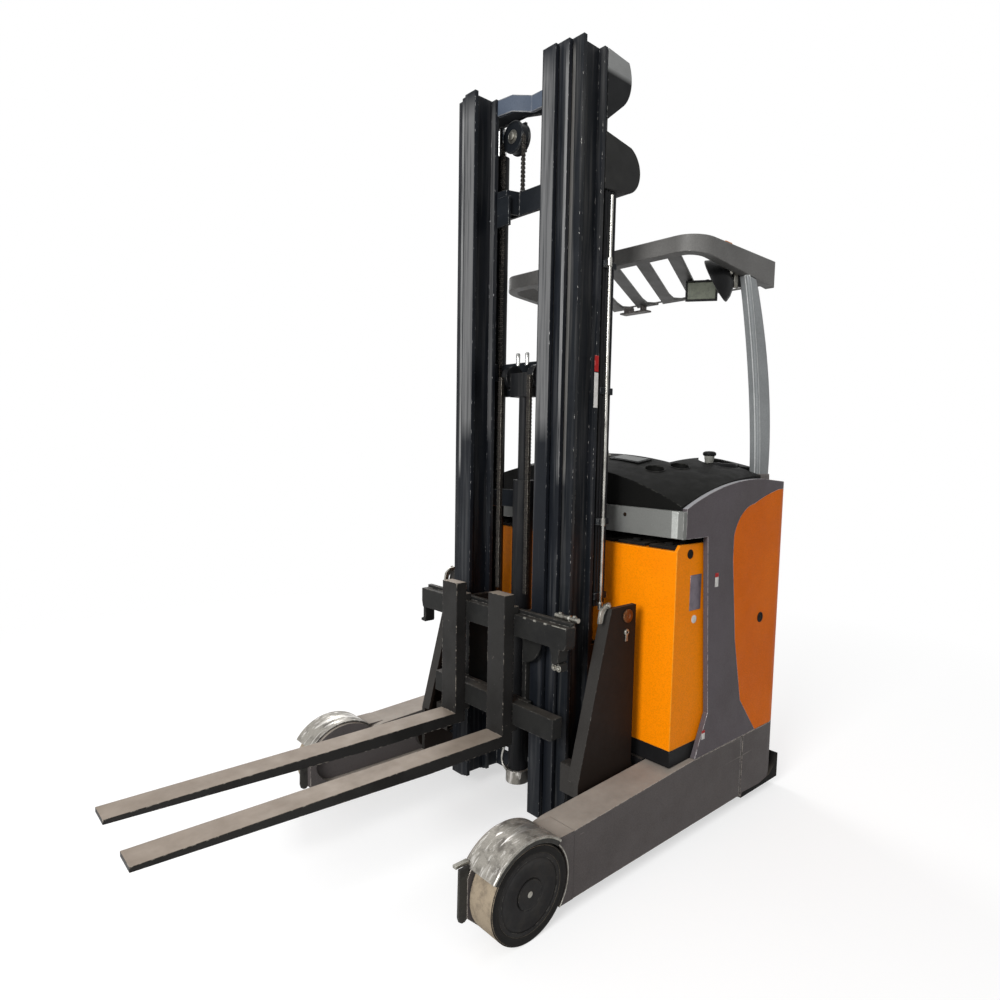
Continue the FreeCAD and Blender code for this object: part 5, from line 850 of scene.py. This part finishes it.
# ---- The reach carriage ----
# Two flame-cut plates on rollers run inside the arms and hold the mast by pins.
# They are painted black, with scuffed bright edges.
reach_black = surface(
    "reach_black", (52, 50, 48), (42, 40, 38), (120, 116, 110), (0.5, 0.65), patch_size=0.4,
    edge_wear_and_highlight=0.3, scratch=0.05, scratch_stretch=(1, 1, 0.12), side_colour=(27, 20, 16))
dress(reach_black, "reach_plate_left", "reach_plate_right", "reach_beam")
pin_brown = surface(
    "pin_brown", (106, 62, 30), (84, 52, 30), (190, 170, 150), (0.3, 0.5), metal=0.5,
    patch_size=0.02, edge_wear_and_highlight=0.8)
pins, lugs, links, brackets = meshes(4)
plate_x, box_x = 475, 386
for side in (1, -1):
    turn(pins, [(0, 0), (24, 0), (24, 6), (21, 8), (8, 8), (6, 6), (0, 6)],
         at(side * plate_x, 573, 850), (side, 0, 0), 36)
    turn(lugs, [(12, 0), (12, 4), (9, 6), (5, 6), (5, 0)], at(side * plate_x, 570, 792),
         (side, 0, 0), 24)
    side_sheet(lugs, side, plate_x, [(563, 760), (577, 760), (574, 786), (566, 786)], 4)
piece("tilt_pins", pins, pin_brown, "reach_carriage", highlight=0.8)
piece("lifting_lugs", lugs, zinc, "reach_carriage", highlight=0.6)
for side in (1, -1):
    side_sheet(links, side, 452, [(440, 838), (448, 880), (470, 902), (496, 905), (500, 892),
                                  (478, 884), (464, 866), (458, 838)], 10)
    bolt(links, at(side * 462, 486, 896), (side, 0, 0), 12)
    for front, rear, low, high in ((386, 392, 220, 326), (392, 430, 320, 327),
                                   (392, 430, 219, 226)):
        post(brackets, side * box_x, 40, (front, low), (rear, high))
piece("reach_links", links, zinc, "reach_carriage", highlight=1)
piece("shock_boxes", brackets, reach_black, "reach_carriage", highlight=1)

# ---- The mast ----
# Three pairs of rolled uprights nest in one another, tied by bent cross bars.
# They are painted blue-black; grease and rollers polish their faces in long bright streaks.
mast_black = surface(
    "mast_black", (20, 23, 28), (26, 29, 34), (150, 150, 150), (0.4, 0.55), patch_size=0.25,
    grain_depth=0.06, edge_width=0.003, edge_wear_and_highlight=0.3, scratch=0.06, scratch_stretch=(3, 3, 0.05),
    scratch_size=0.02, streak=0.12,
    tracks=((191, 249, 1450, 2760, 0.5), (281, 294, 1300, 2770, 0.9)))
mast_worn = surface(
    "mast_worn", (22, 25, 29), (32, 34, 38), (160, 158, 154), (0.4, 0.55), patch_size=0.2,
    grain_depth=0.08, edge_width=0.003, edge_wear_and_highlight=0.3, scratch=0.06, scratch_stretch=(3, 3, 0.05),
    scratch_size=0.02, streak=0.12, tracks=((292, 306, 1300, 2770, 0.9),))
dress(mast_worn, "mast_outer_left", "mast_outer_right")
dress(mast_black, "mast_middle_left", "mast_middle_right", "mast_inner_left",
      "mast_inner_right")
tie_blue = surface(
    "tie_blue_grey", (81, 90, 104), (70, 78, 91), (196, 194, 188), (0.4, 0.55), patch_size=0.2,
    edge_width=0.006, edge_wear_and_highlight=0.9, scratch=0.15)
tie_black = surface(
    "tie_black", (26, 29, 33), (34, 37, 41), (130, 130, 128), (0.4, 0.55), patch_size=0.2,
    edge_wear_and_highlight=0.7, scratch=0.1)
dress(tie_black, "mast_outer_ties", "mast_middle_ties", "mast_inner_ties")
cover_black = surface(
    "pulley_cover_black", (42, 42, 41), (34, 34, 34), (112, 110, 106), (0.5, 0.65),
    grain_size=0.0015, grain_depth=0.25, edge_wear_and_highlight=0.4, worn_metal=0.0, worn_roughness=0.55)
head_black = surface(
    "head_cover_black", (146, 147, 146), (134, 135, 134), (150, 150, 148), (0.5, 0.65),
    grain_size=0.0015, grain_depth=0.2, edge_wear_and_highlight=0.3, worn_metal=0.0, worn_roughness=0.55,
    low_colour=(2.722, 22, 23, 24))
dress(cover_black, "pulley_cover")
dress(head_black, "head_cover")
chrome_rod = surface(
    "ground_chrome", (196, 196, 194), (170, 170, 168), (120, 116, 110), (0.08, 0.2), metal=1.0,
    worn_metal=1.0, patch_size=0.1, edge_wear_and_highlight=0.2, scratch=0.15, scratch_stretch=(3, 3, 0.05))
dress(chrome_rod, "lift_rods")
pipe_steel = surface(
    "pipe_steel", (176, 174, 168), (150, 148, 142), (214, 212, 206), (0.18, 0.32), metal=0.9,
    patch_size=0.05, edge_wear_and_highlight=0.3)
dress(pipe_steel, "mast_pipe")
cylinder_black = surface(
    "cylinder_black", (20, 21, 23), (28, 28, 30), (110, 108, 104), (0.4, 0.5), patch_size=0.2,
    edge_wear_and_highlight=0.5, scratch=0.12, scratch_stretch=(1, 1, 0.1), streak=0.15)
dress(cylinder_black, "lift_cylinders", "free_lift_cylinder", "free_lift_head")
chain_steel = surface(
    "chain_steel", (40, 38, 36), (56, 52, 48), (140, 134, 124), (0.4, 0.6), metal=0.4,
    patch_size=0.01, grain_depth=0.3, edge_width=0.0015, edge_wear_and_highlight=0.9)
dress(chain_steel, "free_lift_chains")


def folded(mesh, plan, low, high, thick=12):
    """A flat bar set on edge and folded along a plan of (x, back) points, the same both ways."""
    middle = plan + [(-x, back) for x, back in plan[::-1]]
    swept(mesh, [[at(x, back + shift, up) for x, back in middle]
                 for shift, up in ((0, low), (0, high), (thick, high), (thick, low))])


outer_ties, middle_ties, inner_ties, head_tie = meshes(4)
for up in (232, 643, 1643, 2365):
    folded(outer_ties, [(-316.7, 529.5), (-308, 604), (-296, 605.3)], up, up + 70)
for side in (1, -1):
    post(outer_ties, side * 278, 38, (529.5, 130), (617, 150))
    post(middle_ties, side * 168, 20, (592, 2600), (603, 2712))
for up in (424, 1700):
    folded(middle_ties, [(-262, 509.8), (-235, 512), (-228, 560)], up, up + 70)
folded(middle_ties, [(-295, 560), (-120, 561), (-60, 590)], 2712, 2774, 14)
for up in (80, 1191):
    folded(inner_ties, [(-206, 484), (-200, 542), (-190, 543)], up, up + 70)
folded(inner_ties, [(-206, 486), (-136, 492), (-118, 543)], 2335, 2424)
for side in (1, -1):
    post(inner_ties, side * 161, 44, (489, 2290), (500, 2400), 0.06)
    bolt(inner_ties, at(side * 107, 549, 2424), (0, 0, 1), 12)
folded(head_tie, [(-206, 481), (-112, 492), (-60, 545)], 2705, 2766)
for stage, body, mesh in (("outer", "mast_fixed", outer_ties),
                          ("middle", "mast_second", middle_ties),
                          ("inner", "mast_third", inner_ties)):
    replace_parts(piece(f"{stage}_tie_bars", mesh, tie_black, body),
                f"mast_{stage}_ties")
piece("inner_head_tie", head_tie, tie_blue, "mast_third")

pulleys, hubs, lift_chains = meshes(3)
chain_pitch = 15.9
for side in (1, -1):
    axle = at(side * 168, 566, 2645)
    turn(pulleys, [(0, -22), (58, -22), (61, -19), (61, -15), (56, -13), (56, 13), (61, 15),
                   (61, 20), (57, 23), (30, 21), (0, 21)], axle, (0, -1, 0), 48)
    turn(hubs, [(26, 20), (26, 24), (16, 25), (16, 31), (12, 33), (0, 33)], axle, (0, -1, 0), 24)
    for x, low in ((107, 2430), (229, 380)):
        for k in range(round((2640 - low) / chain_pitch)):
            up = low + chain_pitch * k
            post(lift_chains, side * x, 6, (541, up), (556, up + 10.5), 0.12)
            post(lift_chains, side * x, 3.5, (543, up + 8), (554, up + 18), 0)
piece("head_pulleys", pulleys, tie_black, "mast_second", highlight=0)
piece("pulley_hubs", hubs, zinc, "mast_second", highlight=0)
piece("lift_chains", lift_chains, chain_steel, "mast_second", highlight=0)


def pipe(name, points, radius, material, body, smoothness):
    """Makes a bent pipe along its points."""
    curve = bpy.data.curves.new(name, "CURVE")
    curve.dimensions = "3D"
    curve.bevel_depth = radius * mm
    curve.bevel_resolution = 5
    curve.use_fill_caps = True
    line = curve.splines.new("NURBS")
    line.points.add(len(points) - 1)
    for spot, point in zip(line.points, points):
        spot.co = (*point, 1.0)
    line.order_u = 3
    line.use_endpoint_u = True
    line.resolution_u = smoothness
    return stand(name, curve, material, body)


collars, oil_lines, cuffs, label, label_bar = meshes(5)
pipe_x = 356
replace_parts(pipe("steel_pipe", [at(pipe_x, back, up) for up, back in (
    (854, 560), (999, 560), (1173, 562), (1608, 559), (1952, 555), (2306, 557))], 5.5, pipe_steel,
    "mast_fixed", 0), "mast_pipe")
for side in (1, -1):
    for back in (551, 566, 581, 596):
        turn(oil_lines, [(0, 0), (7, 0), (7, 1466), (0, 1466)], at(side * 331, back, 862),
             (0, 0, 1), 16)
    for up in (900, 1174, 1640, 2076):
        post(cuffs, side * 334, 10, (540, up - 12), (606, up + 12))
for up in (1162, 2068):
    slab(cuffs, at(343, 540, up), at(352, 566, up + 22))
for back, up in ((560, 866), (560, 1173), (555, 2081)):
    turn(collars, [(5.5, -14), (9.5, -14), (9.5, 14), (5.5, 14)], at(pipe_x, back, up), (0, 0, 1),
         20)
for mesh, low, high in ((label, 1578, 1700), (label_bar, 1703, 1759)):
    slab(mesh, at(343.4, 507, low), at(344.6, 527, high))
piece("oil_lines", oil_lines, cylinder_black, "mast_fixed", highlight=0)
piece("line_cuffs", cuffs, tie_black, "mast_fixed")
piece("pipe_collars", collars, pipe_steel, "mast_fixed", highlight=0.5)
piece("mast_label", label, label_white, "mast_fixed", highlight=0.3)
piece("mast_label_top", label_bar, label_red, "mast_fixed", highlight=0.3)

studs, chain_leaves, foot_ring = meshes(3)
for x in (8, -45):
    turn(studs, [(0, 0), (8, 0), (8, 44), (6, 48), (0, 48)], at(x, 489, 1745), (0, 0, 1), 24)
leaf_pitch = 13.1
for side in (1, -1):
    for k in range(62):
        post(chain_leaves, side * 82, 9.5, (430.7, 884 + k * leaf_pitch),
             (444.7, 892.5 + k * leaf_pitch), 0.12)
turn(foot_ring, [(40.3, -18), (47, -18), (48, -15), (48, 34), (40.3, 36)], at(0, 489, 117),
     (0, 0, 1), 48)
piece("free_lift_studs", studs, chrome_rod, "free_lift", highlight=0)
piece("chain_leaves", chain_leaves, chain_steel, "free_lift", highlight=0)
piece("cylinder_foot_ring", foot_ring, cover_steel, "mast_third", highlight=0)
pipe("cylinder_feed_pipe", [at(-31, 446, 248), at(-44, 444, 214), at(-47, 443, 186),
                            at(-34, 441, 160), at(-12, 440, 152)], 5, pipe_steel, "mast_third",
     3)

# ---- The fork carriage and the forks ----
# A welded carriage on rollers carries a side-shift frame, and forged forks hang on its bars.
# The fork blades are scoured to bare brown-grey steel on top; their sides stay dark.
carriage_black = surface(
    "carriage_black", (34, 34, 33), (26, 26, 26), (138, 134, 128), (0.5, 0.65), patch_size=0.15,
    edge_wear_and_highlight=0.55, scratch=0.15, dust=0.15)
dress(carriage_black, "carriage_frame", "fork_frame")
fork_steel = surface(
    "fork_steel", (42, 41, 40), (34, 33, 32), (176, 168, 156), (0.45, 0.6), metal=0.1,
    patch_size=0.2, grain_depth=0.1, edge_width=0.005, edge_wear_and_highlight=0.45, scratch=0.15,
    scratch_stretch=(1, 0.12, 1), dust=0.75, dust_colour=(158, 146, 134),
    top_colour=(132, 120, 108))
dress(fork_steel, "fork_left", "fork_right")
hook_bars, teeth, shifter, gussets = meshes(4)
bar_front = 294.3
for outline in (
        ((-404, 843), (-404, 790), (-398, 768), (-392, 762), (-392, 722), (-408, 716), (-408, 706),
         (-380, 704), (-376, 712), (-376, 765), (372, 765), (380, 742), (384, 712), (400, 708),
         (414, 720), (418, 765), (440, 766), (450, 782), (450, 843)),
        ((-300, 518), (-300, 438), (384, 438), (396, 446), (396, 518))):
    sheet_of(hook_bars, [at(x, bar_front, up) for x, up in outline], (0, 44.5 * mm, 0))
slab(hook_bars, at(-398, 320, 838), at(446, 339, 856))
slab(hook_bars, at(380, 304, 686), at(418, 338, 712))
for x in (242, 295, 348):
    post(teeth, x, 7, (294.1, 837), (303, 843.2))
slab(teeth, at(381, 294.1, 840), at(446, 299, 843.2))
for x in (388, 410):
    bolt(teeth, at(x, 304, 698), (0, -1, 0), 12)
turn(shifter, [(0, 0), (9.5, 0), (9.5, 60), (11, 62), (11, 68), (8, 70), (8, 108), (0, 108)],
     at(342, 352, 861), (1, 0, 0), 28)
for x in (362, 430):
    bolt(shifter, at(x, 352, 869), (0, 0, 1), 10)
turn(gussets, [(0, 0), (94, 0), (97, 4), (94, 8), (0, 8)], at(184, 339.4, 757), (0, 1, 0), 72)
for beyond in ((-1, 0, 0), (0, 0, 1)):
    bmesh.ops.bisect_plane(gussets, geom=gussets.verts[:] + gussets.edges[:] + gussets.faces[:],
                           plane_co=at(184, 343, 757), plane_no=beyond, clear_outer=True)
bmesh.ops.holes_fill(gussets, edges=[e for e in gussets.edges if e.is_boundary])
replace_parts(piece("hook_bars", hook_bars, carriage_black, "side_shift", highlight=2),
            "fork_frame")
piece("carriage_teeth", teeth, zinc, "side_shift", highlight=0)
piece("side_shift_ram", shifter, zinc, "fork_carriage", highlight=0)
piece("carriage_gusset", gussets, carriage_black, "fork_carriage", highlight=0.5)

# ---- The studio ----
# A pale floor and an even white sky light the truck, with one large soft lamp in front of it
# and a small one on its far side. The camera stands before its left corner at head height.
floor_mesh = bmesh.new()
bmesh.ops.create_circle(floor_mesh, cap_ends=True, segments=64, radius=16)
floor_data = bpy.data.meshes.new("pale_floor")
floor_mesh.to_mesh(floor_data)
floor_mesh.free()
floor = bpy.data.objects.new("pale_floor", floor_data)
floor.location.z = -2 * mm
bpy.context.scene.collection.objects.link(floor)


def seen_as_background(tree):
    """One where a ray comes from the camera, a mirror or glass, and nought for other light."""
    ray = add_node(tree, "LightPath")
    seen = ray.outputs["Is Camera Ray"]
    for kind in ("Is Glossy Ray", "Is Transmission Ray"):
        either = add_node(tree, "Math", operation="MAXIMUM")
        tree.links.new(seen, either.inputs[0])
        tree.links.new(ray.outputs[kind], either.inputs[1])
        seen = either.outputs[0]
    return seen


def joined(tree, kind, *sources):
    """A node of shaders, joined to its sources in their order."""
    made = add_node(tree, kind)
    for socket, source in zip(made.inputs, sources):
        tree.links.new(source, socket)
    return made.outputs[0]


paper = bpy.data.materials.new("pale_paper")
paper.use_nodes = True
tree = paper.node_tree
tree.nodes.clear()
reach = add_node(tree, "VectorMath", operation="LENGTH")
tree.links.new(add_node(tree, "TexCoord").outputs["Object"], reach.inputs[0])
fade = add_node(tree, "MapRange", **{"From Min": 1.6, "From Max": 4.5})
tree.links.new(reach.outputs["Value"], fade.inputs["Value"])
bounce = add_node(tree, "BsdfDiffuse", Color=(0.42, 0.42, 0.42, 1))
shaded = add_node(tree, "BsdfDiffuse", Color=(0.5, 0.5, 0.5, 1))
glow = add_node(tree, "Emission", Strength=0.58)
white = add_node(tree, "Emission")
near_floor = joined(tree, "AddShader", shaded.outputs[0], glow.outputs[0])
edge_of_view = joined(tree, "MixShader", fade.outputs[0], near_floor, white.outputs[0])
chosen = joined(tree, "MixShader", seen_as_background(tree), bounce.outputs[0], edge_of_view)
tree.links.new(chosen, add_node(tree, "OutputMaterial").inputs["Surface"])
floor_data.materials.append(paper)

world = bpy.data.worlds.new("even_sky")
bpy.context.scene.world = world
world.use_nodes = True
sky = world.node_tree
backdrop = add_node(sky, "Background", Color=(1, 1, 1, 1))
light_of_sky = sky.nodes["Background"]
light_of_sky.inputs["Color"].default_value = (1, 1, 1, 1)
light_of_sky.inputs["Strength"].default_value = 0.5
either = joined(sky, "MixShader", seen_as_background(sky), light_of_sky.outputs[0],
                backdrop.outputs[0])
sky.links.new(either, sky.nodes["World Output"].inputs["Surface"])


def lamp(name, place, target, size, power):
    """A soft square lamp aimed at a point."""
    light = bpy.data.lights.new(name, "AREA")
    light.size = size
    light.energy = power
    made = bpy.data.objects.new(name, light)
    made.location = place
    made.rotation_euler = (Vector(target) - Vector(place)).to_track_quat("-Z", "Y").to_euler()
    bpy.context.scene.collection.objects.link(made)


lamp("front_lamp", (2.0, -5.4, 3.4), (0.3, 0.3, 1.0), 2.4, 330)
lamp("far_lamp", (-4.6, 1.8, 4.2), (0, 0.4, 1.2), 2.0, 120)

camera_data = bpy.data.cameras.new("camera")
camera_data.sensor_width = 36
camera_data.lens = 24.82
camera_data.shift_x = -0.0649
camera_data.shift_y = 0.0139
camera_data.clip_end = 60
camera = bpy.data.objects.new("camera", camera_data)
look = Vector((-0.7088, 0.6993, -0.0932)).normalized()
right = Vector((0.7005, 0.7133, 0.0254))
right = (right - look * right.dot(look)).normalized()
top = right.cross(look)
stands_at = (2.017, -1.5405, 1.430)
camera.matrix_world = Matrix.Translation(stands_at) @ Matrix(
    (right, top, -look)).transposed().to_4x4()
bpy.context.scene.collection.objects.link(camera)
bpy.context.scene.camera = camera
bpy.context.scene.view_settings.view_transform = "Standard"
